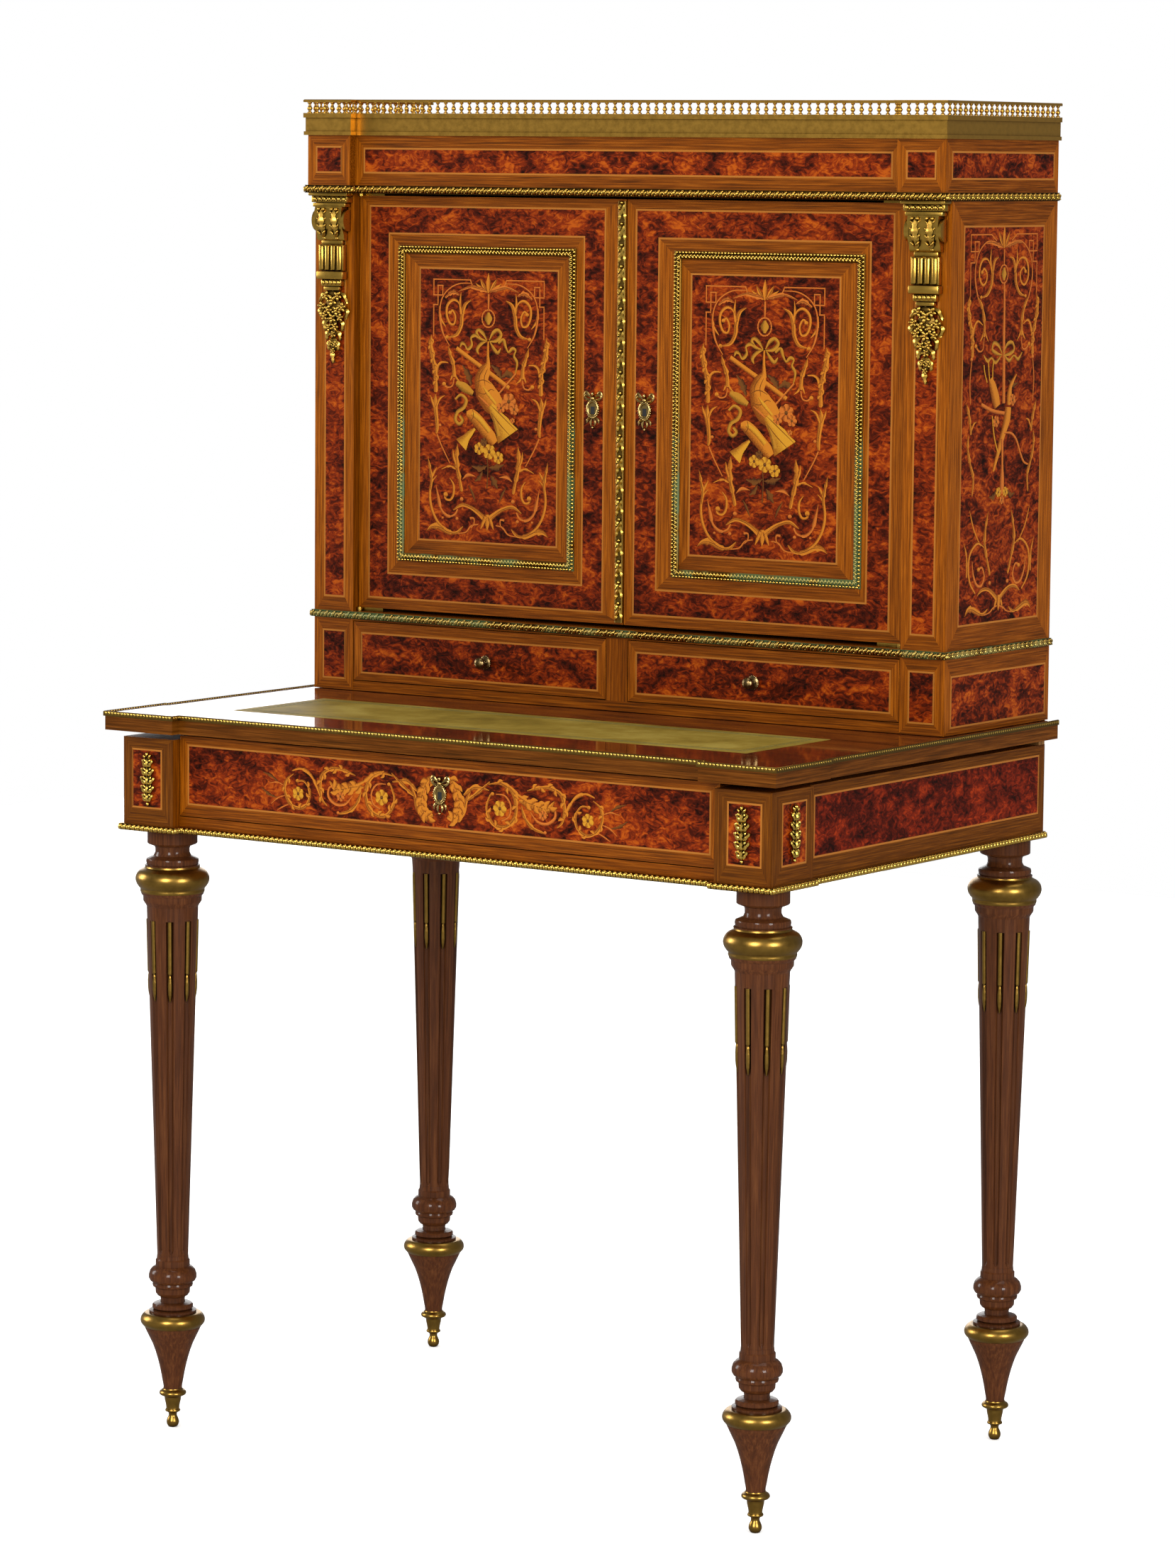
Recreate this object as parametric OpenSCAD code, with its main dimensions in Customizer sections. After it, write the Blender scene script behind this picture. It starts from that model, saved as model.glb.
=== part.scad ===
// Bonheur-du-jour: a small writing desk with a two-door upper cabinet, a sliding
// writing top, three drawers, turned and fluted legs and brass mounts.
// X runs to the right, Y to the back, Z up; the origin is on the floor under the
// middle of the desk, measured from the front of its writing top to the rearmost of
// its back panel and its rear legs' collars.

/* [Overall] */
// Width of the desk across its two front corner blocks
desk_w = 798; // [760:1:860]
// Depth of the desk from the front of the corner blocks to the back panel
desk_d = 538; // [500:1:580]
// Height of the legs under the lower case
stand_h = 640; // [600:1:690]

/* [Lower case] */
// Height of the corner blocks and the aprons
lower_h = 98; // [90:1:125]
// Width of a corner block
block_w = 65; // [56:1:76]
// Depth of a corner block
block_d = 75; // [66:1:90]
// How far the middle of the front stands back from the corner blocks
recess = 11; // [5:1:18]
// Thickness of a side apron
apron_t = 18; // [12:1:22]
// How far a side apron stands in from the face of its corner block
apron_in = 5; // [2:0.5:9]
// Height of the rail under the wide drawer
rail_h = 17.5; // [12:0.5:22]
// Thickness of the rail under the wide drawer, front to back
rail_t = 19; // [14:1:24]
// Thickness of the dust board that carries the wide drawer
dust_t = 9; // [6:1:11]
// Thickness of the rail across the back of the lower case
back_rail_t = 22; // [16:1:28]
// Thickness of the back panel
back_t = 12; // [8:1:16]
// Width of the runner along each side that carries the writing top
runner_w = 51; // [46:1:56]
// Depth of each runner's underside below the top of the side aprons
runner_drop = 23; // [16:1:30]
// Side of the square post on top of each rear leg
post_w = 32; // [24:1:36]

/* [Legs] */
// Distance from the side of the desk to the middle of a leg
leg_side_in = 33; // [30:1:38]
// Distance from the front of the corner blocks to the middle of a front leg
leg_front_in = 39; // [32:1:44]
// Distance from the back of the desk to the middle of a rear leg
leg_back_in = 29; // [28:1:36]
// Radius of the round plate at the top of a leg
plate_r = 26; // [23:0.5:28]
// Radius of the leg inside its brass collar
collar_core_r = 22; // [18:0.5:24]
// Largest radius of the brass collar
collar_r = 38.5; // [34:0.5:42]
// Radius of the fluted shaft at its top
shaft_top_r = 27; // [24:0.5:29]
// Radius of the fluted shaft at its foot
shaft_foot_r = 16.3; // [15:0.1:18]
// Height of the foot of the fluted shaft over the floor
shaft_foot_z = 186; // [182:1:200]
// Number of flutes round a leg
flutes = 8; // [6:1:10]
// Radius of a flute at the top of the shaft
flute_top_r = 4.2; // [3.4:0.1:4.8]
// Radius of a flute at the foot of the shaft
flute_foot_r = 2.7; // [2.2:0.1:3.2]
// Radius of the brass fillet in the top of a flute
fillet_r = 2.3; // [1.8:0.1:2.8]
// Length of the brass fillet in a flute
fillet_len = 85; // [70:1:110]
// Radius of the leg inside its brass foot ring
ring_core_r = 14; // [11:0.5:17]
// Largest radius of the brass foot ring
ring_r = 33.8; // [31:0.2:36]
// Height of the top of the brass sabot over the floor
sabot_h = 42; // [38:1:46]
// Radius of the wooden spigot inside the sabot
spigot_r = 5; // [3.5:0.1:5.6]
// Radius of the dowel on top of each front leg
dowel_r = 12; // [8:0.5:16]
// Length of the dowel on top of each front leg
dowel_len = 25; // [18:1:40]

/* [Writing top] */
// Thickness of the sliding writing top
top_t = 18.5; // [15:0.5:24]
// Gap between the corner blocks and the writing top
top_gap = 7; // [4:0.5:10]
// Overhang of the writing top's ears past the front of the corner blocks
top_out_front = 16; // [12:1:22]
// Overhang of the writing top's ears past the sides of the corner blocks
top_out_side = 15; // [12:1:20]
// Width of the ear at each front corner of the writing top
ear_w = 92; // [82:1:104]
// Depth of the ear at each front corner of the writing top
ear_d = 102; // [90:1:116]
// How far the side of the writing top steps in behind the ear
ear_step = 3; // [1:0.5:6]
// Height of the brass rim on the edge of the writing top
rim_h = 4; // [3:0.5:7]
// Thickness of the brass rim
rim_t = 1.5; // [1:0.1:2.5]
// Width of the rim's lip on top of the writing top
lip_w = 4; // [3:0.5:5]
// Width of the leather
leather_w = 636; // [560:1:660]
// Depth of the leather, front to back
leather_d = 157; // [130:1:180]
// Distance from the front of the writing top's middle to the leather
leather_in = 85; // [70:1:100]
// Thickness of the leather
leather_t = 1.2; // [0.8:0.1:2]
// Width of the guide strip under each side of the writing top
guide_w = 13.5; // [9:0.5:18]
// Depth of the guide strips below the writing top
guide_drop = 13; // [8:0.5:14]
// How far the writing top slides forward on its runners
top_travel = 160; // [130:5:170]

/* [Drawers] */
// Gap under and beside a drawer front
front_gap = 1; // [0.6:0.1:1.5]
// Gap between the wide drawer's front and the writing top
front_top_gap = 3; // [2:0.5:5]
// Thickness of a drawer front
front_t = 18; // [14:1:22]
// Thickness of the wide drawer's sides and back
wide_side_t = 12; // [8:1:14]
// Thickness of the wide drawer's bottom
wide_bottom_t = 6; // [4:0.5:8]
// Height of the wide drawer's sides
wide_side_h = 64; // [50:1:68]
// Distance from the end of the wide drawer's front to its side
wide_side_in = 11; // [10:0.5:16]
// Space behind the wide drawer when it is shut
wide_back_space = 13; // [4:1:60]
// Thickness of a small drawer's sides and back
small_side_t = 8; // [6:0.5:10]
// Thickness of a small drawer's bottom
small_bottom_t = 4; // [3:0.5:5]
// Height of a small drawer's sides
small_side_h = 53; // [40:1:58]
// Space behind a small drawer when it is shut
small_back_space = 10; // [4:1:40]
// Distance from the end of a small drawer's front to its side
small_side_in = 2.2; // [1.5:0.1:4]
// Radius of a small drawer's brass knob
knob_r = 6.2; // [5:0.1:8]
// Length of a small drawer's brass knob
knob_len = 15; // [12:0.5:20]

/* [Upper cabinet] */
// How far the cabinet stands in from the corner blocks at each side
cab_in = 2; // [0:0.5:5]
// Depth of the cabinet from its corner stiles to the back
cab_d = 213.5; // [200:0.5:240]
// Thickness of the cabinet's sides
side_t = 20; // [14:1:24]
// Width of a corner stile
stile_w = 52; // [46:1:58]
// Thickness of a corner stile, front to back
stile_t = 28.5; // [26:0.5:32]
// Thickness of the cabinet's bottom board
bottom_t = 10.4; // [8:0.2:14]
// Height of the opening for the small drawers
small_open_h = 65.5; // [60:0.5:76]
// Thickness of the board between the small drawers and the doors
floor_t = 10; // [9:0.5:14]
// Height of the opening for the doors
door_open_h = 452; // [420:1:500]
// Height of the frieze over the doors
frieze_h = 60; // [50:1:76]
// Thickness of the cabinet's top board
cap_t = 22; // [20:1:30]
// How far the frieze's end blocks stand out from the corner stiles
frieze_out = 13.8; // [11:0.2:18]
// How far the middle of the frieze stands back from its end blocks
frieze_step = 10; // [4:0.5:10.5]
// Width of a frieze end block
frieze_block_w = 56; // [52:0.5:62]
// Width of the stile between the two small drawers
divider_w = 27; // [20:1:34]
// Height of the guide strips beside the small drawers
small_guide_h = 20; // [12:1:30]
// Thickness of the shelf
shelf_t = 18; // [12:1:22]
// Height of the shelf's underside over the cabinet's floor
shelf_up = 221; // [180:1:260]
// How far the shelf's front edge stands back from the corner stiles
shelf_set = 42.5; // [41:0.5:60]

/* [Doors] */
// Thickness of the doors
door_t = 18; // [15:0.5:20]
// How far the doors stand back from the corner stiles
door_set = 9.5; // [7:0.5:9.5]
// Gap between a door and its corner stile
door_gap = 1; // [0.8:0.1:1.6]
// Gap between the two doors where they meet
meeting_gap = 1.6; // [1.5:0.1:2.4]
// Distance of the joint between the doors to the right of the middle
joint_x = 1.6; // [0:0.2:3]
// Width of the astragal on the left door
astragal_w = 9.8; // [7:0.2:13]
// Thickness of the astragal
astragal_t = 4; // [3:0.2:6]
// Thickness of the hinge plates
plate_t = 2; // [1.5:0.1:2.6]
// Gap between a door's hinge plate and the case's hinge plate
plate_gap = 0.2; // [0.2:0.05:0.4]
// Radius of the hinge pins
pin_r = 1.5; // [1.2:0.1:1.8]
// Radial clearance of a hinge pin in its plate
pin_clear = 0.08; // [0.05:0.01:0.1]
// Distance of the hinge pins in front of the doors' face
pin_out = 3; // [2.6:0.1:3.2]
// Distance of the hinge pins from the doors' outer edge
pin_in = 2.8; // [2.8:0.1:3.4]
// Length of the hinge plates across the door
hinge_plate_len = 32; // [24:1:40]
// Width of the brass bead frame on each door
bead_frame_w = 230.4; // [200:0.4:240]
// Height of the brass bead frame on each door
bead_frame_h = 338.6; // [300:0.2:350]
// Width of the bead frame's moulding
bead_w = 8.8; // [7:0.2:11]
// Thickness of the bead frame's moulding
bead_t = 4; // [3:0.2:5]
// Distance of the right door's keyhole from the joint between the doors
key_in = 24.7; // [20:0.1:30]
// Distance of the outer edge of each bead frame from its door's outer edge
bead_frame_in = 52; // [46:0.5:60]
// Distance of the left door's blind keyhole plate from the joint between the doors
blind_key_in = 39.7; // [32:0.1:50]
// Radius of the keyholes
key_r = 2.6; // [2:0.1:3]

/* [Mouldings and gallery] */
// Height of the brass moulding round the foot of the lower case
base_mould_h = 7; // [5:0.5:10]
// How far the foot moulding stands out
base_mould_out = 7.1; // [5:0.1:9]
// Height of the brass mouldings round the cabinet
belt_h = 7; // [5:0.5:8]
// How far the frieze moulding stands out
frieze_mould_out = 5.6; // [4:0.1:7]
// How far the waist moulding under the doors stands out
waist_mould_out = 5.9; // [4:0.1:7]
// How far the gallery's base stands out from the top board
base_band_out = 4; // [3:0.1:5]
// Height of the gallery over its base
gallery_h = 14.5; // [10:0.5:22]
// Height of the gallery's rail
gallery_rail_h = 3; // [2:0.2:4]
// Width of the gallery's rail
gallery_rail_w = 5; // [4:0.2:6]
// Radius of a gallery baluster's swelling
baluster_r = 2; // [1.4:0.1:2.4]
// Distance between two gallery balusters
baluster_pitch = 10.3; // [8:0.1:14]

/* [Hidden] */
$fn = 48;

wood = "#8a4518";
burr = "#7a3310";
oak = "#a9804c";
brass = "#b8923c";
hide = "#9a8a4a";
steel = "#77736c";

// Clearance of a sliding piece over what carries it
seat_gap = 0.3;
// Clearance round a dowel or a fillet that is glued or pinned in its seat
glue_gap = 0.05;
// Clearance at each side of the writing top's guides
guide_gap = 0.5;
// How far a small drawer's front stands back from the corner stiles
small_set = 0.5;
// Overrun of a cutting shape past the face that it cuts
cut = 1;

// Planes across the depth; the rear legs' collars can stand out behind the back panel
collar_past = max(0, collar_r - leg_back_in);
y_back = (desk_d + top_out_front - collar_past) / 2;
y_block = y_back - desk_d;
y_ear = y_block - top_out_front;
y_block_back = y_block + block_d;
y_wide = y_block + recess;
y_wide_back = y_wide + front_t;
y_panel = y_back - back_t;
y_back_rail = y_panel - back_rail_t;
y_stile = y_back - cab_d;
y_stile_back = y_stile + stile_t;
y_frieze = y_stile - frieze_out;
y_door = y_stile + door_set;
y_small = y_stile + small_set;
y_pin = y_door - pin_out;

// Half widths
x_block = desk_w / 2;
x_block_in = x_block - block_w;
x_apron = x_block - apron_in;
x_apron_in = x_apron - apron_t;
x_runner_in = x_apron_in - runner_w;
x_cab = x_block - cab_in;
x_side_in = x_cab - side_t;
x_open = x_cab - stile_w;
x_ear = x_block + top_out_side;
x_door = x_open - door_gap;
x_pin = x_door - pin_in;
x_leg = x_block - leg_side_in;
y_leg_front = y_block + leg_front_in;
y_leg_rear = y_back - leg_back_in;

// Levels
z_lower_top = stand_h + lower_h;
z_top = z_lower_top + top_gap;
z_top_face = z_top + top_t;
case_gap = 0.6;
z_case = z_top_face + case_gap;
z_small = z_case + bottom_t;
z_small_top = z_small + small_open_h;
z_floor = z_small_top + floor_t;
z_frieze = z_floor + door_open_h;
z_cap = z_frieze + frieze_h;
z_cap_top = z_cap + cap_t;
gallery_lip_t = 1.5;
z_gallery = z_cap_top + gallery_lip_t;
z_rail_top = stand_h + rail_h;
z_runner = z_lower_top - runner_drop;
z_runner_top = z_top - seat_gap;

// Mirrored copy on the left when side is -1
module on_side(side) {
    if (side > 0)
        children();
    else
        mirror([1, 0, 0]) children();
}

module box(x0, x1, y0, y1, z0, z1) {
    translate([x0, y0, z0]) cube([x1 - x0, y1 - y0, z1 - z0]);
}

// Right half of a plan with a front that steps back between two end blocks.
// hw is the half width over the block, front the block's face, bw its width, step how
// far the middle stands back, side_step how far the side stands in behind side_y, rear
// the back edge, and g grows the outline at the front and the sides
function half_plan(hw, front, bw, step, side_step, side_y, rear, g) = concat(
    [[hw - side_step + g, rear]],
    side_step > 0 ? [[hw - side_step + g, side_y + g], [hw + g, side_y + g]] : [],
    [[hw + g, front - g]],
    step > 0 ? [[hw - bw - g, front - g], [hw - bw - g, front + step - g]] : []
);
function whole_plan(p) = concat(
    p, [for (i = [len(p) - 1 : -1 : 0]) [-p[i][0], p[i][1]]]
);
function desk_plan(g, rear) = whole_plan(
    half_plan(x_block, y_block, block_w, recess, apron_in, y_block_back, rear, g));
function top_plan(g, rear) = whole_plan(
    half_plan(x_ear, y_ear, ear_w, recess, ear_step, y_ear + ear_d, rear, g));
function frieze_plan(g, rear) = whole_plan(
    half_plan(x_cab, y_frieze, frieze_block_w, frieze_step, 0, 0, rear, g));
function cabinet_plan(g, rear) = whole_plan(
    half_plan(x_cab, y_stile, stile_w, 0, 0, 0, rear, g));

// Profile of a belt moulding: a swelling between two fillets, in level steps
belt_steps = 6;
function belt_out(i, out) = out * (0.5 + 0.5 * sin(180 * (i + 0.5) / belt_steps));

// Legs, turned; levels of the head are measured down from the lower case
head_len = 82;
collar_top = 39;
collar_h = 28;
flute_start = 96;
flute_lift = 0.6;
flute_foot_gap = 6;
shaft_top_z = stand_h - head_len;
flute_top_z = stand_h - flute_start;
flute_foot_z = shaft_foot_z + flute_foot_gap;
ring_top_z = 124;
ring_h = 14.3;
spigot_len = 18;

function shaft_r(z) = shaft_foot_r
    + (shaft_top_r - shaft_foot_r) * (z - shaft_foot_z) / (shaft_top_z - shaft_foot_z);
function flute_r(z) = flute_foot_r
    + (flute_top_r - flute_foot_r) * (z - flute_foot_z) / (flute_top_z - flute_foot_z);
function flute_floor(z) = shaft_r(z) + flute_lift - flute_r(z);

function leg_profile() = let (t = stand_h, c = t - collar_top) [
    [0, t], [plate_r, t], [plate_r, t - 15], [plate_r - 1, t - 16],
    [18.6, t - 18.5], [17.8, t - 21], [17.8, t - 25], [19.6, t - 28.5], [24.6, t - 30.6],
    [26.8, t - 31.6], [27.4, t - 34], [26.8, t - 37.5], [28.6, t - 38.2],
    [28.6, c], [collar_core_r, c],
    [collar_core_r, c - collar_h], [33, c - collar_h], [32.4, c - collar_h - 2],
    [30.6, c - collar_h - 4], [30.4, c - collar_h - 9], [28.6, c - collar_h - 12],
    [shaft_top_r, shaft_top_z],
    [shaft_foot_r, shaft_foot_z], [16.6, 182], [17.8, 180.5], [17.8, 174.5],
    [21, 172.5], [23.6, 169.5], [25, 165], [25, 161.5], [23.4, 158.5], [20.6, 156.4],
    [21.2, 154.6], [20.6, 152.4], [18.2, 151], [17.8, 145.5], [15.8, 142.6],
    [12.9, 141], [12.5, 138], [12.9, 135.4], [20, 134], [21.3, 132.4], [21.3, 129.6],
    [20, 128], [24.6, 127], [24.6, ring_top_z], [ring_core_r, ring_top_z],
    [ring_core_r, ring_top_z - ring_h], [29.4, ring_top_z - ring_h],
    [29.4, 108.4], [27.4, 104], [24.3, 97.5], [21.2, 91], [18.3, 83], [15.9, 75],
    [13.9, 67], [12.2, 59], [10.8, 51], [9.6, sabot_h + 2.5], [9.6, sabot_h],
    [spigot_r, sabot_h], [spigot_r, sabot_h - spigot_len], [0, sabot_h - spigot_len]
];

module flute_cutters() {
    r0 = shaft_r(flute_foot_z) + flute_lift;
    r1 = shaft_r(flute_top_z) + flute_lift;
    rise = flute_top_z - flute_foot_z;
    run = sqrt(rise * rise + (r1 - r0) * (r1 - r0));
    for (i = [0 : flutes - 1])
        rotate([0, 0, i * 360 / flutes])
            translate([r0, 0, flute_foot_z])
                rotate([0, atan((r1 - r0) / rise), 0]) {
                    cylinder(h = run, r1 = flute_foot_r, r2 = flute_top_r);
                    translate([0, 0, -4])
                        cylinder(h = 4, r1 = 0.8, r2 = flute_foot_r);
                }
}

module turned_leg() {
    difference() {
        rotate_extrude() polygon(leg_profile());
        flute_cutters();
    }
}

// Brass fillet in the top of a flute, a rod with a bud at its lower end
module flute_fillet() {
    z1 = flute_top_z;
    z0 = z1 - fillet_len;
    r0 = flute_floor(z0) + fillet_r + glue_gap;
    r1 = flute_floor(z1) + fillet_r + glue_gap;
    rise = z1 - z0;
    run = sqrt(rise * rise + (r1 - r0) * (r1 - r0));
    translate([r0, 0, z0])
        rotate([0, atan((r1 - r0) / rise), 0])
            rotate_extrude($fn = 24)
                polygon([[0, 0], [0.5, 0], [fillet_r - 0.4, 7], [fillet_r, 12],
                    [fillet_r, 20], [fillet_r - 0.5, 26], [fillet_r - 0.9, 28],
                    [fillet_r, 30], [fillet_r, run], [0, run]]);
}

module leg_collar() {
    c = stand_h - collar_top;
    rotate_extrude()
        polygon([[collar_core_r, c], [28.2, c], [28.6, c - 2], [29.8, c - 3],
            [collar_r - 4, c - 5.4], [collar_r - 1.2, c - 9], [collar_r, c - 13.5],
            [collar_r - 0.8, c - 18], [collar_r - 3.2, c - 22], [collar_r - 5, c - 24],
            [collar_r - 5, c - 25.5], [33, c - collar_h], [collar_core_r, c - collar_h]]);
}

module foot_ring() {
    rotate_extrude()
        polygon([[ring_core_r, ring_top_z], [28.5, ring_top_z], [ring_r - 2.6, ring_top_z - 1.8],
            [ring_r - 0.6, ring_top_z - 4.8], [ring_r, ring_top_z - 8],
            [ring_r - 0.8, ring_top_z - 11], [ring_r - 3.6, ring_top_z - ring_h],
            [ring_core_r, ring_top_z - ring_h]]);
}

// Brass sabot: a flanged cup over a small ball that stands on the floor
ball_r = 6.3;
ball_z = 5.4;
module sabot() {
    rotate_extrude()
        polygon(concat(
            [[spigot_r, sabot_h], [10, sabot_h], [10.6, sabot_h - 1.2], [13, sabot_h - 2.8],
                [14, sabot_h - 5], [13, sabot_h - 7], [9, sabot_h - 9], [8.2, 29],
                [7.1, 24], [6.7, 20], [7.6, 19], [7.6, 17.2], [5, 15.8], [4.2, 14.2],
                [4.2, 12.2]],
            [for (a = [50 : -18 : -40]) [ball_r * cos(a), ball_z + ball_r * sin(a)]],
            [[3.6, 0], [0, 0], [0, sabot_h - spigot_len], [spigot_r, sabot_h - spigot_len]]));
}

module at_legs() {
    for (side = [-1, 1]) {
        translate([side * x_leg, y_leg_front, 0]) children();
        translate([side * x_leg, y_leg_rear, 0]) children();
    }
}

// The legs stand turned by different amounts, so their flutes don't line up
turns = [-12.6, 0, 11, 22.5];

module front_leg(side, turn) {
    color(wood)
        translate([side * x_leg, y_leg_front, 0])
            rotate([0, 0, turn]) {
                turned_leg();
                translate([0, 0, stand_h - cut])
                    cylinder(h = dowel_len + cut, r = dowel_r);
            }
}

module rear_leg(side, turn) {
    color(wood) {
        translate([side * x_leg, y_leg_rear, 0])
            rotate([0, 0, turn]) turned_leg();
        on_side(side)
            box(x_apron_in - post_w, x_apron_in, y_back_rail - post_w, y_back_rail,
                stand_h - cut, z_runner);
    }
}

module leg_front_left() front_leg(-1, turns[0]);
module leg_front_right() front_leg(1, turns[1]);
module leg_rear_left() rear_leg(-1, turns[2]);
module leg_rear_right() rear_leg(1, turns[3]);

module leg_mount_set(x, y, turn) {
    translate([x, y, 0]) {
        leg_collar();
        for (i = [0 : flutes - 1])
            rotate([0, 0, turn + i * 360 / flutes]) flute_fillet();
    }
}

module leg_mounts() {
    color(brass) {
        leg_mount_set(-x_leg, y_leg_front, turns[0]);
        leg_mount_set(x_leg, y_leg_front, turns[1]);
        leg_mount_set(-x_leg, y_leg_rear, turns[2]);
        leg_mount_set(x_leg, y_leg_rear, turns[3]);
    }
}

module foot_rings() {
    color(brass) at_legs() foot_ring();
}

module sabots() {
    color(brass) at_legs() sabot();
}

// Lower case
module corner_block(side) {
    color(wood)
        difference() {
            on_side(side)
                box(x_block_in, x_block, y_block, y_block_back, stand_h, z_lower_top);
            translate([side * x_leg, y_leg_front, stand_h - cut])
                cylinder(h = dowel_len + cut + glue_gap, r = dowel_r + glue_gap);
        }
}
module corner_block_left() corner_block(-1);
module corner_block_right() corner_block(1);

module side_apron(side) {
    color(wood)
        on_side(side)
            box(x_apron_in, x_apron, y_block_back, y_panel, stand_h, z_lower_top);
}
module side_apron_left() side_apron(-1);
module side_apron_right() side_apron(1);

module lower_back_rail() {
    color(oak)
        box(-x_apron_in, x_apron_in, y_back_rail, y_panel, stand_h, z_lower_top);
}

module bottom_rail() {
    color(wood)
        box(-x_block_in, x_block_in, y_wide, y_wide + rail_t, stand_h, z_rail_top);
}

// The dust board fills the case behind the rail, cut out round the rear posts
module dust_board() {
    half = [
        [x_apron_in - post_w, y_back_rail],
        [x_apron_in - post_w, y_back_rail - post_w],
        [x_apron_in, y_back_rail - post_w],
        [x_apron_in, y_block_back],
        [x_block_in, y_block_back],
        [x_block_in, y_wide + rail_t]
    ];
    color(oak)
        translate([0, 0, z_rail_top - dust_t])
            linear_extrude(dust_t) polygon(whole_plan(half));
}

module top_runners() {
    color(oak)
        for (side = [-1, 1])
            on_side(side)
                box(x_runner_in, x_apron_in, y_block_back, y_back_rail, z_runner,
                    z_runner_top);
}

module base_moulding() {
    step_h = base_mould_h / belt_steps;
    color(brass)
        difference() {
            for (i = [0 : belt_steps - 1])
                translate([0, 0, stand_h + i * step_h])
                    linear_extrude(step_h)
                        polygon(desk_plan(belt_out(i, base_mould_out), y_back));
            translate([0, 0, stand_h - cut])
                linear_extrude(base_mould_h + 2 * cut) polygon(desk_plan(0, y_back + cut));
        }
}

// Acanthus leaves on the front and on the outer side of each corner block
leaf_t = 3;
leaf_up = 3;
leaf_back_in = 35;
vein_r = 1.4;
vein_x = 3;
vein_out = 0.6;
leaf_half = [[0, -27], [3.2, -25], [5.6, -19], [7.2, -12], [5.2, -6], [6.8, 2],
    [4.6, 8], [6, 14], [4, 20], [2.2, 25], [0, 28]];
function mirrored_outline(p) = concat(
    p, [for (i = [len(p) - 2 : -1 : 1]) [-p[i][0], p[i][1]]]
);

module acanthus_leaf() {
    difference() {
        linear_extrude(leaf_t) polygon(mirrored_outline(leaf_half));
        for (k = [-1, 1])
            translate([k * vein_x, leaf_half[0][1] - cut, leaf_t + vein_out])
                rotate([-90, 0, 0])
                    cylinder(h = leaf_half[len(leaf_half) - 1][1] - leaf_half[0][1]
                        + 2 * cut, r = vein_r, $fn = 24);
    }
}

module block_mounts() {
    z_leaf = (stand_h + base_mould_h + z_lower_top) / 2 + leaf_up;
    color(brass)
        for (side = [-1, 1]) {
            translate([side * (x_block - block_w / 2), y_block, z_leaf])
                rotate([90, 0, 0]) acanthus_leaf();
            translate([side * x_block, y_block_back - leaf_back_in, z_leaf])
                rotate([90, 0, side * 90]) acanthus_leaf();
        }
}

// Upper cabinet
module case_side(side) {
    color(wood)
        on_side(side) box(x_side_in, x_cab, y_stile_back, y_back, z_case, z_cap);
}
module case_side_left() case_side(-1);
module case_side_right() case_side(1);

module case_top() {
    color(wood)
        translate([0, 0, z_cap]) linear_extrude(cap_t) polygon(frieze_plan(0, y_back));
}

// A board across the cabinet, narrower between the corner stiles
module case_board(z0, z1) {
    half = [
        [x_side_in, y_panel], [x_side_in, y_stile_back],
        [x_open, y_stile_back], [x_open, y_stile]
    ];
    translate([0, 0, z0]) linear_extrude(z1 - z0) polygon(whole_plan(half));
}

module case_floor() {
    color(wood) case_board(z_small_top, z_floor);
}

module case_bottom() {
    color(wood) case_board(z_case, z_small);
}

module drawer_partitions() {
    color(wood) {
        box(-divider_w / 2, divider_w / 2, y_stile, y_panel, z_small, z_small_top);
        for (side = [-1, 1])
            on_side(side)
                box(x_open, x_side_in, y_stile_back, y_panel, z_small,
                    z_small + small_guide_h);
    }
}

// One panel closes the lower case and the cabinet, behind the writing top
module back_panel() {
    color(oak) {
        box(-x_apron, x_apron, y_panel, y_back, stand_h, z_case);
        box(-x_side_in, x_side_in, y_panel, y_back, z_case - cut, z_cap);
    }
}

module pilaster(side) {
    color(wood)
        on_side(side) box(x_open, x_cab, y_stile, y_stile_back, z_case, z_frieze);
}
module pilaster_left() pilaster(-1);
module pilaster_right() pilaster(1);

module frieze() {
    color(wood)
        translate([0, 0, z_frieze])
            linear_extrude(frieze_h) polygon(frieze_plan(0, y_stile_back));
}

module cabinet_shelf() {
    color(wood)
        box(-x_side_in, x_side_in, y_stile + shelf_set, y_panel, z_floor + shelf_up,
            z_floor + shelf_up + shelf_t);
}

// Brass base of the gallery, wrapped round the edge of the top board
foot_band_h = 4;
upper_band_h = 5;
neck_in = 1.8;
lip_in = 6;
module gallery_band(z0, z1, g, g_in) {
    translate([0, 0, z0])
        linear_extrude(z1 - z0)
            difference() {
                polygon(frieze_plan(g, y_back));
                polygon(frieze_plan(g_in, y_back + cut));
            }
}

module gallery_base() {
    color(brass) {
        gallery_band(z_cap, z_cap + foot_band_h, base_band_out - 0.4, 0);
        gallery_band(z_cap + foot_band_h, z_gallery - upper_band_h,
            base_band_out - neck_in, 0);
        gallery_band(z_gallery - upper_band_h, z_cap_top, base_band_out, 0);
        gallery_band(z_cap_top, z_gallery, base_band_out, -lip_in);
    }
}

// Gallery: a rail on small turned balusters along the front and the sides
baluster_line = base_band_out - gallery_rail_w / 2;
module baluster() {
    h = gallery_h - gallery_rail_h;
    rotate_extrude($fn = 16)
        polygon([[0, 0], [baluster_r - 0.3, 0], [baluster_r - 0.3, 1.2], [0.9, 2],
            [0.9, h * 0.3], [baluster_r, h * 0.5], [0.9, h * 0.7], [0.9, h - 2],
            [baluster_r - 0.3, h - 1.2], [baluster_r - 0.3, h], [0, h]]);
}

// Balusters evenly spread from one point to another, with one at each end if asked
module baluster_row(a, b, ends) {
    d = b - a;
    n = max(1, round(norm(d) / baluster_pitch));
    for (i = [(ends ? 0 : 1) : (ends ? n : n - 1)])
        translate([a[0] + d[0] * i / n, a[1] + d[1] * i / n, z_gallery]) baluster();
}

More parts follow.
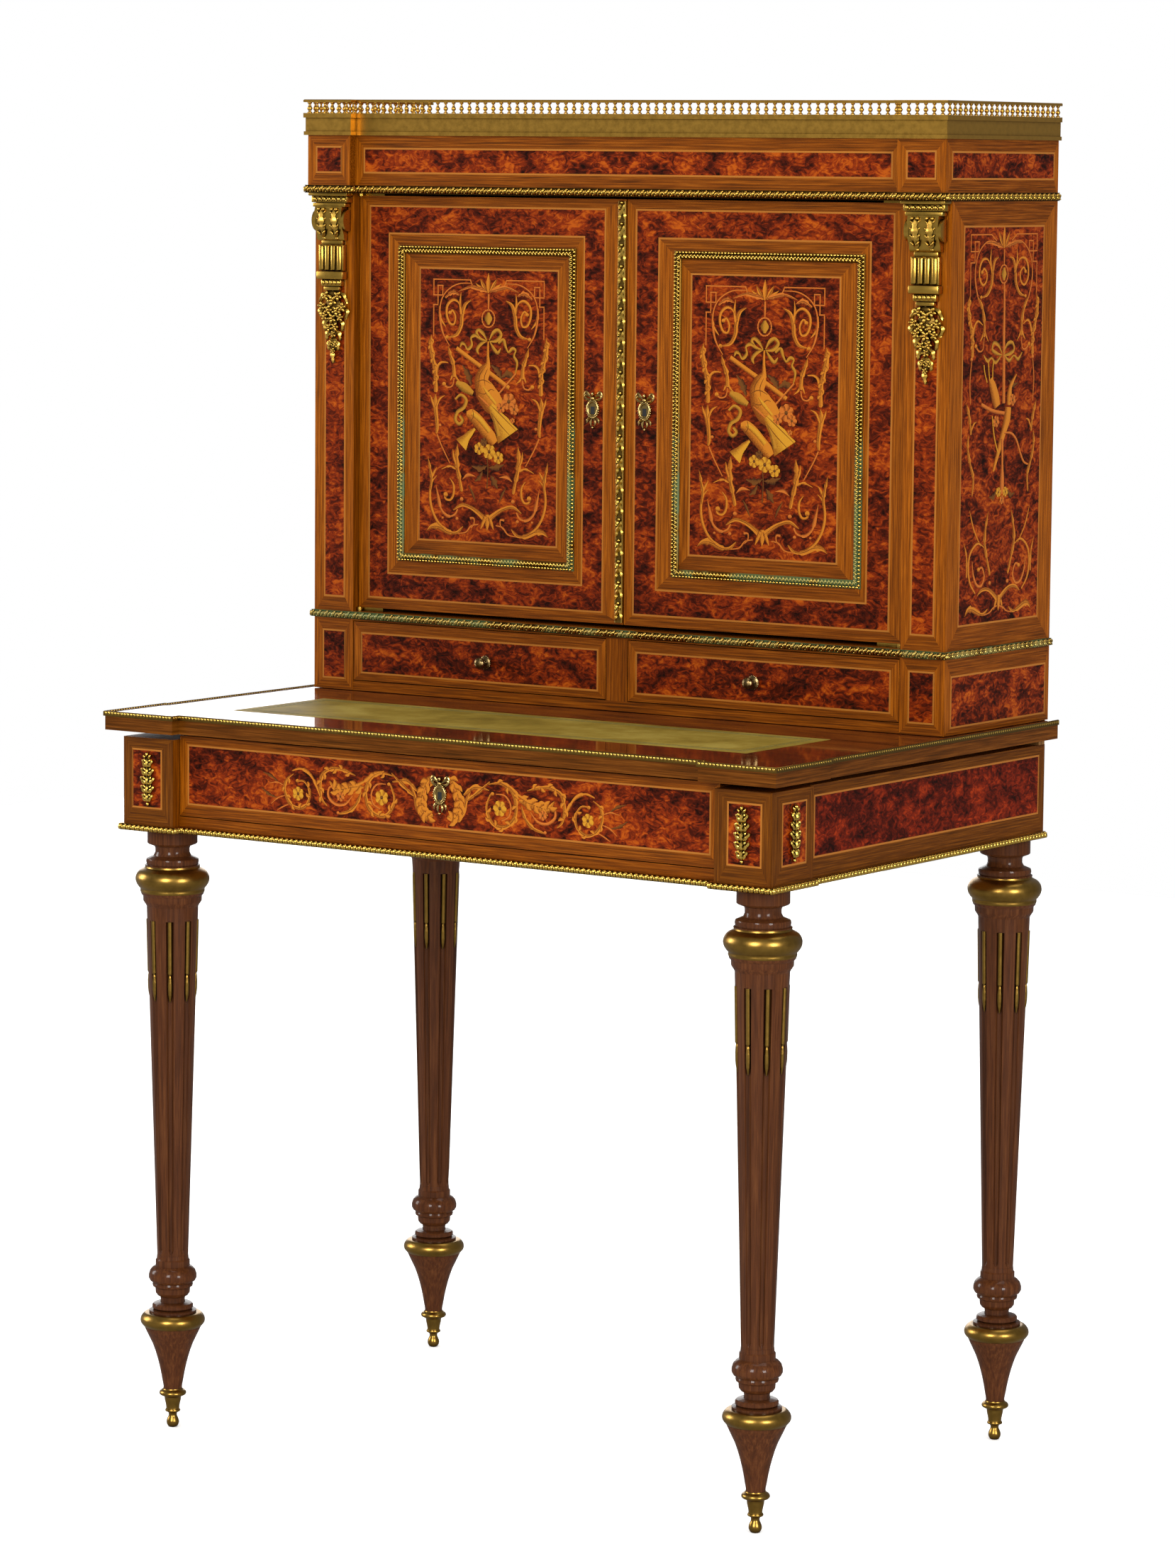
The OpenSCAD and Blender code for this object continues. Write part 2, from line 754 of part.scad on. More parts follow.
module gallery() {
    g = baluster_line;
    line = half_plan(x_cab, y_frieze, frieze_block_w, frieze_step, 0, 0,
        y_back - gallery_rail_w / 2, g);
    color(brass) {
        translate([0, 0, z_gallery + gallery_h - gallery_rail_h])
            linear_extrude(gallery_rail_h)
                difference() {
                    polygon(frieze_plan(base_band_out, y_back));
                    polygon(frieze_plan(base_band_out - gallery_rail_w, y_back + cut));
                }
        for (side = [-1, 1])
            on_side(side) {
                baluster_row(line[0], line[1], true);
                baluster_row(line[1], line[2], false);
                baluster_row(line[2], line[3], true);
            }
        baluster_row([-line[3][0], line[3][1]], line[3], false);
    }
}

module frieze_moulding() {
    step_h = belt_h / belt_steps;
    color(brass)
        difference() {
            for (i = [0 : belt_steps - 1])
                translate([0, 0, z_frieze + i * step_h])
                    linear_extrude(step_h)
                        polygon(frieze_plan(belt_out(i, frieze_mould_out), y_back));
            translate([0, 0, z_frieze - cut])
                linear_extrude(belt_h + 2 * cut) polygon(frieze_plan(0, y_back + cut));
        }
}

module waist_moulding() {
    step_h = belt_h / belt_steps;
    z0 = z_floor - 1 - belt_h;
    color(brass)
        difference() {
            for (i = [0 : belt_steps - 1])
                translate([0, 0, z0 + i * step_h])
                    linear_extrude(step_h)
                        polygon(cabinet_plan(belt_out(i, waist_mould_out), y_back));
            translate([0, 0, z0 - cut])
                linear_extrude(belt_h + 2 * cut) polygon(cabinet_plan(0, y_back + cut));
        }
}

// Corbel: a bracket on the head of each corner stile, with a pendant under it.
// Each layer has its foot, its top, its two sides and how far it stands out
corbel_x0 = x_open;
corbel_layers = [
    [1, -7.5, 0, 0, 14.5], [-7.5, -12, 1.6, 2, 12.6], [-12, -16.6, 4.4, 4.6, 10.4],
    [-16.6, -24, 4.4, 4.2, 12.4], [-24, -32, 6.4, 5.4, 11], [-32, -40, 7.6, 6.8, 9.6],
    [-40, -48, 9, 8.2, 8], [-48, -52, 8.6, 8, 9], [-52, -57, 12, 11.5, 5.6],
    [-57, -84.7, 9, 10.5, 9.6], [-84.7, -86.4, 11, 12, 7], [-86.4, -94, 7.8, 10.3, 10.4],
    [-94, -99, 12, 14, 8.4], [-99, -107, 16, 18, 6.6]
];
flute_lines = 5;
pendant_half = [[0, -106], [12, -108], [17, -116], [18.6, -126], [15, -136], [16, -142],
    [10.5, -150], [11.5, -158], [6.5, -166], [6.5, -174], [2.6, -182], [0, -185]];
pendant_in = 24.6;
pendant_t = 4.5;
flute_line_in = 12.4;
flute_line_pitch = 4.8;
flute_line_r = 1.7;
flute_line_out = 10.2;
flute_line_drop = 82.5;
flute_line_len = 23;
volute_r = 10.8;
volute_t = 3.4;
volute_in = 5;
volute_out = 4;
volute_drop = 32;
volute_end = 60;

module corbel(side) {
    x_mid = corbel_x0 + pendant_in;
    color(brass)
        on_side(side)
            difference() {
                union() {
                    for (c = corbel_layers)
                        box(corbel_x0 + c[2], x_cab - c[3], y_stile - c[4], y_stile,
                            z_frieze + c[1], z_frieze + min(c[0], 0));
                    translate([x_mid, y_stile, z_frieze])
                        rotate([90, 0, 0])
                            linear_extrude(pendant_t)
                                polygon(mirrored_outline(pendant_half));
                    intersection() {
                        for (x = [corbel_x0 + volute_in, x_cab - volute_in - volute_t])
                            translate([x, y_stile - volute_out, z_frieze - volute_drop])
                                rotate([0, 90, 0]) cylinder(h = volute_t, r = volute_r);
                        box(corbel_x0, x_cab, y_frieze, y_stile, z_frieze - volute_end,
                            z_frieze);
                    }
                }
                for (i = [0 : flute_lines - 1])
                    translate([corbel_x0 + flute_line_in + i * flute_line_pitch,
                            y_stile - flute_line_out, z_frieze - flute_line_drop])
                        cylinder(h = flute_line_len, r = flute_line_r, $fn = 24);
            }
}
module corbel_left() corbel(-1);
module corbel_right() corbel(1);

// Hinges: flat offset plates at both ends of each door, pinned in front of its face.
// Only the round nose at the pin stands out past the face, so the open door clears
// its corner stile and the corbel
plate_nose = 2.8;
plate_back = 17;
pin_end = 0.6;
module hinge_plate(z0) {
    translate([0, 0, z0]) {
        cylinder(h = plate_t, r = plate_nose);
        translate([-plate_nose, 0, 0]) cube([2 * plate_nose, pin_out + cut, plate_t]);
        translate([pin_in - hinge_plate_len, pin_out, 0])
            cube([hinge_plate_len, plate_back - pin_out, plate_t]);
    }
}

module at_pin(side) {
    on_side(side) translate([x_pin, y_pin, 0]) children();
}

// The case's plates lie under the frieze and on the cabinet's floor and hold the pins
module case_hinge_plates() {
    color(brass)
        for (side = [-1, 1])
            at_pin(side) {
                hinge_plate(z_frieze - plate_t);
                translate([0, 0, z_frieze - 2 * plate_t - plate_gap - pin_end])
                    cylinder(h = 1.5 * plate_t + plate_gap + pin_end, r = pin_r);
                hinge_plate(z_floor);
                translate([0, 0, z_floor + plate_t / 2])
                    cylinder(h = 1.5 * plate_t + plate_gap + pin_end, r = pin_r);
            }
}

z_door = z_floor + 2 * plate_t + plate_gap;
z_door_top = z_frieze - 2 * plate_t - plate_gap;
x_joint_left = joint_x - meeting_gap / 2;
x_joint_right = joint_x + meeting_gap / 2;
key_up = 3;
z_key = (z_door + z_door_top) / 2 + key_up;

module door_hinge_plates(side) {
    color(brass)
        at_pin(side)
            difference() {
                union() {
                    hinge_plate(z_door_top);
                    hinge_plate(z_door - plate_t);
                }
                translate([0, 0, z_door - 2 * plate_t])
                    cylinder(h = z_door_top - z_door + 4 * plate_t, r = pin_r + pin_clear);
            }
}
module left_door_hinge_plates() door_hinge_plates(-1);
module right_door_hinge_plates() door_hinge_plates(1);

// Depth over which a keyhole is cut free in front of its plate
plate_clear = 10;
module key_bore(x, z, y0, y1) {
    translate([x, y0, z]) rotate([-90, 0, 0]) cylinder(h = y1 - y0, r = key_r);
}

module left_door() {
    color(burr) box(-x_door, x_joint_left, y_door, y_door + door_t, z_door, z_door_top);
}

module right_door() {
    color(burr)
        difference() {
            box(x_joint_right, x_door, y_door, y_door + door_t, z_door, z_door_top);
            key_bore(joint_x + key_in, z_key, y_door - cut, y_door + door_t + cut);
        }
}

// Frame of beads and small leaves, in level steps, standing on the plane y0
module bead_frame(xc, zc, w, h, y0) {
    layers = [[0, bead_w, 0.35], [0.2, 4.6, 0.7], [1.2, 2.4, 1]];
    for (l = layers)
        translate([xc, y0, zc])
            rotate([90, 0, 0])
                linear_extrude(bead_t * l[2])
                    difference() {
                        square([w - 2 * l[0], h - 2 * l[0]], center = true);
                        square([w - 2 * l[0] - 2 * l[1], h - 2 * l[0] - 2 * l[1]],
                            center = true);
                    }
}

// Keyhole plate: an oval ring under a ribbon bow, with two leaves at its foot
module keyhole_plate(x, z, y0, s) {
    translate([x, y0, z])
        rotate([90, 0, 0])
            scale(s) {
                cylinder(h = 1.6, r = 9.6);
                cylinder(h = 2.4, r = 7.6);
                for (k = [-1, 1]) {
                    translate([k * 6.6, 12.4, 0]) cylinder(h = 1.8, r = 5.2);
                    translate([k * 2.6, -12, 0]) cylinder(h = 1.8, r = 3.4);
                }
                translate([0, 11, 0]) cylinder(h = 2.6, r = 3.6);
                translate([0, -16, 0]) cylinder(h = 1.8, r = 2.6);
                translate([-1.6, -16, 0]) cube([3.2, 8, 1.8]);
            }
}

module bored_keyhole_plate(x, z, y0, s) {
    difference() {
        keyhole_plate(x, z, y0, s);
        key_bore(x, z, y0 - plate_clear, y0 + cut);
    }
}

frame_up = 0.5;
z_frame = (z_door + z_door_top) / 2 + frame_up;
x_frame = x_door - bead_frame_in - bead_frame_w / 2;

module left_door_mounts() {
    color(brass) {
        bead_frame(-x_frame, z_frame, bead_frame_w, bead_frame_h, y_door);
        keyhole_plate(x_joint_left - blind_key_in, z_key, y_door, 1);
    }
}

module right_door_mounts() {
    color(brass) {
        bead_frame(x_frame, z_frame, bead_frame_w, bead_frame_h, y_door);
        bored_keyhole_plate(joint_x + key_in, z_key, y_door, 1);
    }
}

// Brass strip on the left door beside the joint
astragal_end = 2;
module astragal() {
    steps = 4;
    color(brass)
        for (i = [0 : steps - 1]) {
            w = astragal_w * (1 - 0.62 * i / (steps - 1));
            box(x_joint_left - astragal_w / 2 - w / 2, x_joint_left - astragal_w / 2 + w / 2,
                y_door - astragal_t * (i + 1) / steps, y_door,
                z_door + astragal_end, z_door_top - astragal_end);
        }
}

// Box lock on the back of the right door
lock_w = 50;
lock_h = 60;
lock_t = 12;
lock_in = 5;
module door_lock() {
    color(steel)
        difference() {
            box(x_joint_right + lock_in, x_joint_right + lock_in + lock_w, y_door + door_t,
                y_door + door_t + lock_t, z_key - lock_h / 2, z_key + lock_h / 2);
            key_bore(joint_x + key_in, z_key, y_door, y_door + door_t + lock_t - lock_back);
        }
}

// Writing top, cut out at the back round the back panel
back_clear = 0.6;
leather_proud = 0.2;
module writing_top() {
    y_leather = y_ear + recess + leather_in;
    color(burr)
        difference() {
            translate([0, 0, z_top])
                linear_extrude(top_t) polygon(top_plan(-rim_t, y_back));
            box(-x_apron - back_clear, x_apron + back_clear, y_panel - back_clear,
                y_back + cut, z_top - cut, z_top_face + cut);
            box(-leather_w / 2, leather_w / 2, y_leather, y_leather + leather_d,
                z_top_face - leather_t + leather_proud, z_top_face + cut);
        }
}

module top_leather() {
    y_leather = y_ear + recess + leather_in;
    z0 = z_top_face - leather_t + leather_proud;
    color(hide)
        box(-leather_w / 2 + glue_gap, leather_w / 2 - glue_gap, y_leather + glue_gap,
            y_leather + leather_d - glue_gap, z0, z0 + leather_t);
}

// Brass rim round the front and the sides of the writing top, with a lip on its face
rim_lip_t = 1.5;
module top_rim() {
    color(brass) {
        translate([0, 0, z_top_face - rim_h])
            linear_extrude(rim_h)
                difference() {
                    polygon(top_plan(0, y_back));
                    polygon(top_plan(-rim_t, y_back + cut));
                }
        translate([0, 0, z_top_face])
            linear_extrude(rim_lip_t)
                difference() {
                    polygon(top_plan(0, y_back));
                    polygon(top_plan(-lip_w, y_back + cut));
                }
    }
}

guide_back = 25;
guide_front_clear = 12;
module top_guides() {
    x1 = x_runner_in - guide_gap;
    y0 = y_wide_back + top_travel + guide_front_clear;
    color(oak)
        for (side = [-1, 1])
            on_side(side)
                box(x1 - guide_w, x1, y0, y_panel - guide_back, z_top - guide_drop, z_top);
}

// Wide drawer under the writing top
x_wide = x_block_in - front_gap;
x_wide_side = x_wide - wide_side_in;
z_wide = z_rail_top + front_gap;
z_wide_top = z_top - front_top_gap;
z_wide_side = z_rail_top + seat_gap;
wide_key_up = 5.5;
wide_plate_scale = 0.95;
z_wide_key = (z_wide + z_wide_top) / 2 + wide_key_up;
wide_bottom_up = 3.2;
y_wide_end = y_back_rail - wide_back_space;

module frieze_drawer_front() {
    color(burr)
        difference() {
            box(-x_wide, x_wide, y_wide, y_wide_back, z_wide, z_wide_top);
            key_bore(0, z_wide_key, y_wide - cut, y_wide_back + cut);
        }
}

module frieze_drawer_box() {
    z_bottom_top = z_wide_side + wide_bottom_up + wide_bottom_t;
    color(oak) {
        for (side = [-1, 1])
            on_side(side)
                box(x_wide_side - wide_side_t, x_wide_side, y_wide_back, y_wide_end,
                    z_wide_side, z_wide_side + wide_side_h);
        box(-x_wide_side + wide_side_t, x_wide_side - wide_side_t,
            y_wide_end - wide_side_t, y_wide_end, z_bottom_top,
            z_wide_side + wide_side_h);
    }
}

module frieze_drawer_bottom() {
    color(oak)
        box(-x_wide_side + wide_side_t, x_wide_side - wide_side_t, y_wide_back,
            y_wide_end, z_wide_side + wide_bottom_up,
            z_wide_side + wide_bottom_up + wide_bottom_t);
}

module frieze_escutcheon() {
    color(brass) bored_keyhole_plate(0, z_wide_key, y_wide, wide_plate_scale);
}

wide_lock_h = 48;
wide_lock_up = 6;
lock_back = 3;
module frieze_lock() {
    color(steel)
        difference() {
            box(-lock_w / 2, lock_w / 2, y_wide_back, y_wide_back + lock_t,
                z_wide_key + wide_lock_up - wide_lock_h / 2,
                z_wide_key + wide_lock_up + wide_lock_h / 2);
            key_bore(0, z_wide_key, y_wide_back - cut, y_wide_back + lock_t - lock_back);
        }
}

// Small drawers under the doors
small_front_in = 0.8;
knob_in = 10;
knob_drop = 2.5;
x_small_out = x_open - small_front_in;
x_small_in = divider_w / 2 + small_front_in;
x_side_out = x_small_out - small_side_in;
x_side_near = x_small_in + small_side_in;
z_small_side = z_small + seat_gap;
y_small_back = y_small + front_t;
y_small_end = y_panel - small_back_space;
small_bottom_up = 3.2;

module small_front(side) {
    color(burr)
        on_side(side)
            box(x_small_in, x_small_out, y_small, y_small_back, z_small + front_gap,
                z_small_top - front_gap);
}

module small_box(side) {
    z_bottom_top = z_small_side + small_bottom_up + small_bottom_t;
    z1 = z_small_side + small_side_h;
    color(oak)
        on_side(side) {
            box(x_side_near, x_side_near + small_side_t, y_small_back, y_small_end,
                z_small_side, z1);
            box(x_side_out - small_side_t, x_side_out, y_small_back, y_small_end,
                z_small_side, z1);
            box(x_side_near + small_side_t, x_side_out - small_side_t,
                y_small_end - small_side_t, y_small_end, z_bottom_top, z1);
        }
}

module small_bottom(side) {
    color(oak)
        on_side(side)
            box(x_side_near + small_side_t, x_side_out - small_side_t, y_small_back,
                y_small_end, z_small_side + small_bottom_up,
                z_small_side + small_bottom_up + small_bottom_t);
}

module small_knob(side) {
    xk = side * ((x_small_out + x_small_in) / 2 - knob_in);
    zk = (z_small + z_small_top) / 2 - knob_drop;
    color(brass)
        translate([xk, y_small, zk])
            rotate([90, 0, 0])
                rotate_extrude()
                    polygon([[0, 0], [knob_r + 1, 0], [knob_r + 1, 1], [knob_r - 1, 1.8],
                        [2.6, 2.6], [2.4, knob_len - 9.6], [knob_r - 1.6, knob_len - 8],
                        [knob_r, knob_len - 5], [knob_r - 0.4, knob_len - 2.6],
                        [knob_r - 2, knob_len - 0.8], [1.8, knob_len], [0, knob_len]]);
}

module left_drawer_front() small_front(-1);
module left_drawer_box() small_box(-1);
module left_drawer_bottom() small_bottom(-1);
module left_drawer_knob() small_knob(-1);
module right_drawer_front() small_front(1);
module right_drawer_box() small_box(1);
module right_drawer_bottom() small_bottom(1);
module right_drawer_knob() small_knob(1);

leg_front_left();
leg_front_right();
leg_rear_left();
leg_rear_right();
leg_mounts();
foot_rings();
sabots();
corner_block_left();
corner_block_right();
side_apron_left();
side_apron_right();
lower_back_rail();
bottom_rail();
dust_board();
top_runners();
base_moulding();
block_mounts();
case_side_left();
case_side_right();
case_top();
case_floor();
case_bottom();
drawer_partitions();
back_panel();
pilaster_left();
pilaster_right();
frieze();
cabinet_shelf();
gallery_base();
gallery();
frieze_moulding();
waist_moulding();
corbel_left();
corbel_right();
case_hinge_plates();
left_door();
left_door_mounts();
left_door_hinge_plates();
astragal();
right_door();
right_door_mounts();
right_door_hinge_plates();
door_lock();
writing_top();
top_leather();
top_rim();
top_guides();
frieze_drawer_front();
frieze_drawer_box();
frieze_drawer_bottom();
frieze_escutcheon();
frieze_lock();
left_drawer_front();
left_drawer_box();
left_drawer_bottom();
left_drawer_knob();
right_drawer_front();
right_drawer_box();
right_drawer_bottom();
right_drawer_knob();
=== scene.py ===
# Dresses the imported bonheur-du-jour: veneers, stringing, marquetry, gilt brass mounts,
# leather and polish. Lengths are in millimetres until a piece is put in its place.
import math
import random
from contextlib import contextmanager

import bpy
from mathutils import Matrix, Vector

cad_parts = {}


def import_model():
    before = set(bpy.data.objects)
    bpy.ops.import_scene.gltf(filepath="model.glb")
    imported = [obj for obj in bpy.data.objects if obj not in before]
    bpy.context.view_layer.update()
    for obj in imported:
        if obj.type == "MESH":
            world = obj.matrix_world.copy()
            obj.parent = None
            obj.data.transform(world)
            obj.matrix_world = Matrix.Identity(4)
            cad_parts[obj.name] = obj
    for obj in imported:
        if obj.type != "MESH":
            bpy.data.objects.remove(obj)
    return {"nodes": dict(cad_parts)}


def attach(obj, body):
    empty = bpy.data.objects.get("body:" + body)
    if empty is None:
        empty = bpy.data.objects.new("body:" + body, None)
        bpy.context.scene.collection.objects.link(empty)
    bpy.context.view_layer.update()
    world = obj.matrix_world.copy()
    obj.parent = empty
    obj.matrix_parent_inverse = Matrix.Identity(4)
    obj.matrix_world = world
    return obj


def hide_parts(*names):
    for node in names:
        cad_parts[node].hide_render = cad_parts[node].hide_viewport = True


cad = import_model()["nodes"]
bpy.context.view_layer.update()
scene = bpy.context.scene
chance = random.Random(7)
MM = 0.001


# Camera, floor and light

# Place, azimuth, tilt and roll, and focal length on a 36 mm frame
CAMERA_PLACE = (3.0531, -4.4760, 1.3375)
CAMERA_TURNS = [math.radians(degrees) for degrees in (-34.26, 6.79, 0.51)]
CAMERA_LENS = 120.24

DESK_MIDDLE = Vector((0, 0, 0.75))

# Softboxes: place, width, height and power
SOFTBOXES = [((1.0, -4.9, 2.3), 1.3, 1.8, 170), ((5.0, -2.3, 1.9), 1.3, 1.8, 170),
             ((-4.6, -1.2, 1.8), 1.3, 1.8, 90), ((0.4, 0.4, 4.6), 3.0, 3.0, 60),
             ((-3.9, 4.7, 1.5), 3.4, 2.4, 66)]
FLOOR_SIZE = 8

# Strength of the white surroundings on matt surfaces and in the polish
DAYLIGHT = 1.05
MIRRORED_LIGHT = 0.2


def make_camera():
    azimuth, tilt, roll = CAMERA_TURNS
    ahead = Vector((math.sin(azimuth) * math.cos(tilt), math.cos(azimuth) * math.cos(tilt),
                    -math.sin(tilt)))
    right = Vector((math.cos(azimuth), -math.sin(azimuth), 0))
    up = right.cross(ahead)
    x_axis = right * math.cos(roll) + up * math.sin(roll)
    y_axis = up * math.cos(roll) - right * math.sin(roll)
    turn = Matrix((x_axis, y_axis, -ahead)).transposed().to_4x4()
    bpy.ops.object.camera_add()
    camera = bpy.context.object
    camera.matrix_world = Matrix.Translation(CAMERA_PLACE) @ turn
    camera.data.lens = CAMERA_LENS
    camera.data.sensor_width = 36
    scene.camera = camera


def softbox(place, width, height, power):
    """A studio softbox, turned to the middle of the desk."""
    bpy.ops.object.light_add(type="AREA", location=place)
    lamp = bpy.context.object
    lamp.data.shape = "RECTANGLE"
    lamp.data.size = width
    lamp.data.size_y = height
    lamp.data.energy = power
    lamp.visible_camera = False
    aim = DESK_MIDDLE - Vector(place)
    lamp.rotation_euler = aim.to_track_quat("-Z", "Y").to_euler()


# Materials

def rgb(code):
    """Linear colour of an sRGB hex value."""
    parts = [int(code[i:i + 2], 16) / 255 for i in (1, 3, 5)]
    return (*[c / 12.92 if c <= 0.04045 else ((c + 0.055) / 1.055) ** 2.4 for c in parts], 1)


def add(tree, kind, settings=None, inputs=None, stops=None):
    """Adds a node with its settings, its values or links, and its colour stops."""
    made = tree.nodes.new(kind)
    for name, value in (settings or {}).items():
        setattr(made, name, value)
    for name, value in (inputs or {}).items():
        if isinstance(value, bpy.types.NodeSocket):
            tree.links.new(value, made.inputs[name])
        else:
            made.inputs[name].default_value = value
    for i, (at, code) in enumerate(stops or []):
        ramp = made.color_ramp
        stop = ramp.elements[i] if i < 2 else ramp.elements.new(at)
        stop.position = at
        stop.color = rgb(code)
    return made


def new_material(name):
    """An empty node material with its shader and output joined."""
    material = bpy.data.materials.new(name)
    material.use_nodes = True
    tree = material.node_tree
    tree.nodes.clear()
    shader = add(tree, "ShaderNodeBsdfPrincipled")
    add(tree, "ShaderNodeOutputMaterial", inputs={"Surface": shader.outputs[0]})
    return material, tree, shader


def wire(shader, **values):
    """Sets or links a shader's inputs, written with underscores for spaces."""
    tree = shader.id_data
    for name, value in values.items():
        socket = shader.inputs[name.replace("_", " ")]
        if isinstance(value, bpy.types.NodeSocket):
            tree.links.new(value, socket)
        else:
            socket.default_value = value


def polish(shader, base, roughness, coat):
    """Coloured wood under French polish, a thin clear shellac film."""
    wire(shader, Base_Color=base, Roughness=roughness, IOR=1.5, Specular_IOR_Level=0.05,
         Coat_Weight=coat, Coat_Roughness=0.06, Coat_IOR=1.45)


def object_place(tree):
    return add(tree, "ShaderNodeTexCoord").outputs["Object"]


def stretched(tree, place, scales, offset=(0, 0, 0)):
    """A pattern's place drawn out along the grain."""
    return add(tree, "ShaderNodeMapping", inputs={0: place, 1: offset, 3: scales}).outputs[0]


def noise(tree, place, scale, detail, roughness=0.5, distortion=0.0):
    return add(tree, "ShaderNodeTexNoise", inputs={
        "Vector": place, "Scale": scale, "Detail": detail, "Roughness": roughness,
        "Distortion": distortion}).outputs[0]


def shades(tree, value, stops):
    """Colours by value."""
    return add(tree, "ShaderNodeValToRGB", inputs={0: value}, stops=stops).outputs[0]


def calc(tree, operation, first, second=0.5):
    return add(tree, "ShaderNodeMath", {"operation": operation},
               {0: first, 1: second}).outputs[0]


def spread(tree, value, low, high, start=0.0, end=1.0):
    """A value from start to end, spread from low to high."""
    return add(tree, "ShaderNodeMapRange", inputs={
        0: value, 1: start, 2: end, 3: low, 4: high}).outputs[0]


def axes(tree, vector):
    return add(tree, "ShaderNodeSeparateXYZ", inputs={0: vector}).outputs


def hollows(tree, reach, stops):
    """Light on the open places and dark in the hollows, as far as a small reach."""
    found = add(tree, "ShaderNodeAmbientOcclusion", {"samples": 6}, {"Distance": reach * MM})
    return shades(tree, found.outputs["AO"], stops)


def blend_values(tree, first, second, share):
    """Weighted mean of two numbers."""
    return add(tree, "ShaderNodeMix", {"data_type": "FLOAT"},
               {0: share, 2: first, 3: second}).outputs[0]


def tint(tree, colour, code, mask):
    """Lays one colour over another where the mask is light."""
    return add(tree, "ShaderNodeMix", {"data_type": "RGBA"},
               {0: mask, 6: colour, 7: rgb(code)}).outputs[2]


def burr_veneer(name, tones, offset):
    # Thuya burr, knife-cut and French polished: deep red-brown with curls of 3 to 6 mm,
    # darker clouds of about 30 mm and small dark buds, book-matched about the middle
    material, tree, shader = new_material(name)
    x, y, z = axes(tree, object_place(tree))
    book = add(tree, "ShaderNodeCombineXYZ", inputs={
        0: calc(tree, "ABSOLUTE", x), 1: y, 2: z}).outputs[0]
    laid = stretched(tree, book, (0.6, 0.6, 1), offset)
    curls = noise(tree, laid, 140, 6, 0.62, 1.7)
    clouds = noise(tree, laid, 30, 3, 0.55, 1.6)
    buds = add(tree, "ShaderNodeTexVoronoi", inputs={"Vector": laid, "Scale": 230})
    bud_mask = shades(tree, buds.outputs["Distance"], [(0.08, "#ffffff"), (0.3, "#000000")])
    colour = shades(tree, blend_values(tree, curls, clouds, 0.45), tones)
    faded = calc(tree, "MULTIPLY", bud_mask, 0.35)
    polish(shader, tint(tree, colour, "#2a0b05", faded), 0.42, 0.14)
    return material


def straight_veneer(name, tones, source, scales, roughness=0.45, coat=0.1, painted_flute_shade=False):
    # Quarter-cut rosewood border: fine dark pores and paler streaks 1 to 3 mm wide,
    # running the length of each strip
    material, tree, shader = new_material(name)
    place = add(tree, "ShaderNodeTexCoord").outputs[source]
    streaks = noise(tree, stretched(tree, place, scales), 1, 5, 0.6, 0.25)
    pores = noise(tree, stretched(tree, place, tuple(1.9 * s for s in scales)), 1, 3, 0.7)
    pore_mask = shades(tree, pores, [(0.34, "#ffffff"), (0.5, "#000000")])
    base = tint(tree, shades(tree, streaks, tones), "#2c1406",
                calc(tree, "MULTIPLY", pore_mask, 0.45))
    # On the turned legs, painted shade darkens the flutes as far as 7 mm into them.
    if painted_flute_shade:
        base = tint(tree, base, "#100502",
                    hollows(tree, 7, [(0.4, "#d0d0d0"), (0.85, "#000000")]))
    polish(shader, base, roughness, coat)
    return material


def polished_top(name, face_tones, edge_tones):
    # Rosewood top with a deep shellac polish: dark and red on its face, straight brown
    # grain along its edges
    material, tree, shader = new_material(name)
    place = object_place(tree)
    normal = add(tree, "ShaderNodeNewGeometry").outputs["Normal"]
    flat = calc(tree, "GREATER_THAN", axes(tree, normal)[2], 0.5)
    face, edge = [
        shades(tree, noise(tree, stretched(tree, place, scales), 1, 5, 0.65, 0.25), stops)
        for scales, stops in (((LONG, 260, FINE), face_tones),
                              ((LONG, LONG, FINE), edge_tones))]
    base = add(tree, "ShaderNodeMix", {"data_type": "RGBA"}, {0: flat, 6: edge, 7: face})
    polish(shader, base.outputs[2], 0.3, spread(tree, flat, 0.1, 0.9))
    return material


def inlay_wood(name, light, scorched):
    # Holly and satinwood cut thin for marquetry, shaded along one edge in hot sand
    material, tree, shader = new_material(name)
    coords = add(tree, "ShaderNodeTexCoord").outputs
    grained = noise(tree, coords["Object"], 900, 3, 0.6)
    shade = blend_values(tree, axes(tree, coords["UV"])[1], grained, 0.4)
    base = shades(tree, shade, [(0.25, scorched), (0.5, light), (0.8, light)])
    polish(shader, base, 0.42, 0.2)
    return material


def gilt_brass(name, bright, patina, roughness, green_below=None, worn=0.35):
    # Cast and chased brass with old gilding: bright on the high places, olive-brown
    # patina in the low ones, and below a given height green verdigris in patches
    material, tree, shader = new_material(name)
    place = object_place(tree)
    high = hollows(tree, 4, [(0.45, "#000000"), (0.95, "#ffffff")])
    grime = noise(tree, place, 150, 5, 0.65)
    base = shades(tree, blend_values(tree, high, grime, worn), [(0.15, patina), (0.8, bright)])
    metal = 1.0
    if green_below:
        low = spread(tree, axes(tree, place)[2], 0.12, -0.4, green_below - 0.03,
                     green_below + 0.06)
        damp = calc(tree, "ADD", noise(tree, place, 22, 5, 0.65), low)
        green = shades(tree, damp, [(0.5, "#000000"), (0.64, "#dcdcdc")])
        base = tint(tree, base, "#2a5532", green)
        metal = calc(tree, "SUBTRACT", 1.0, green)
    wire(shader, Base_Color=base, Metallic=metal,
         Roughness=spread(tree, grime, roughness * 0.8, roughness * 1.35))
    return material


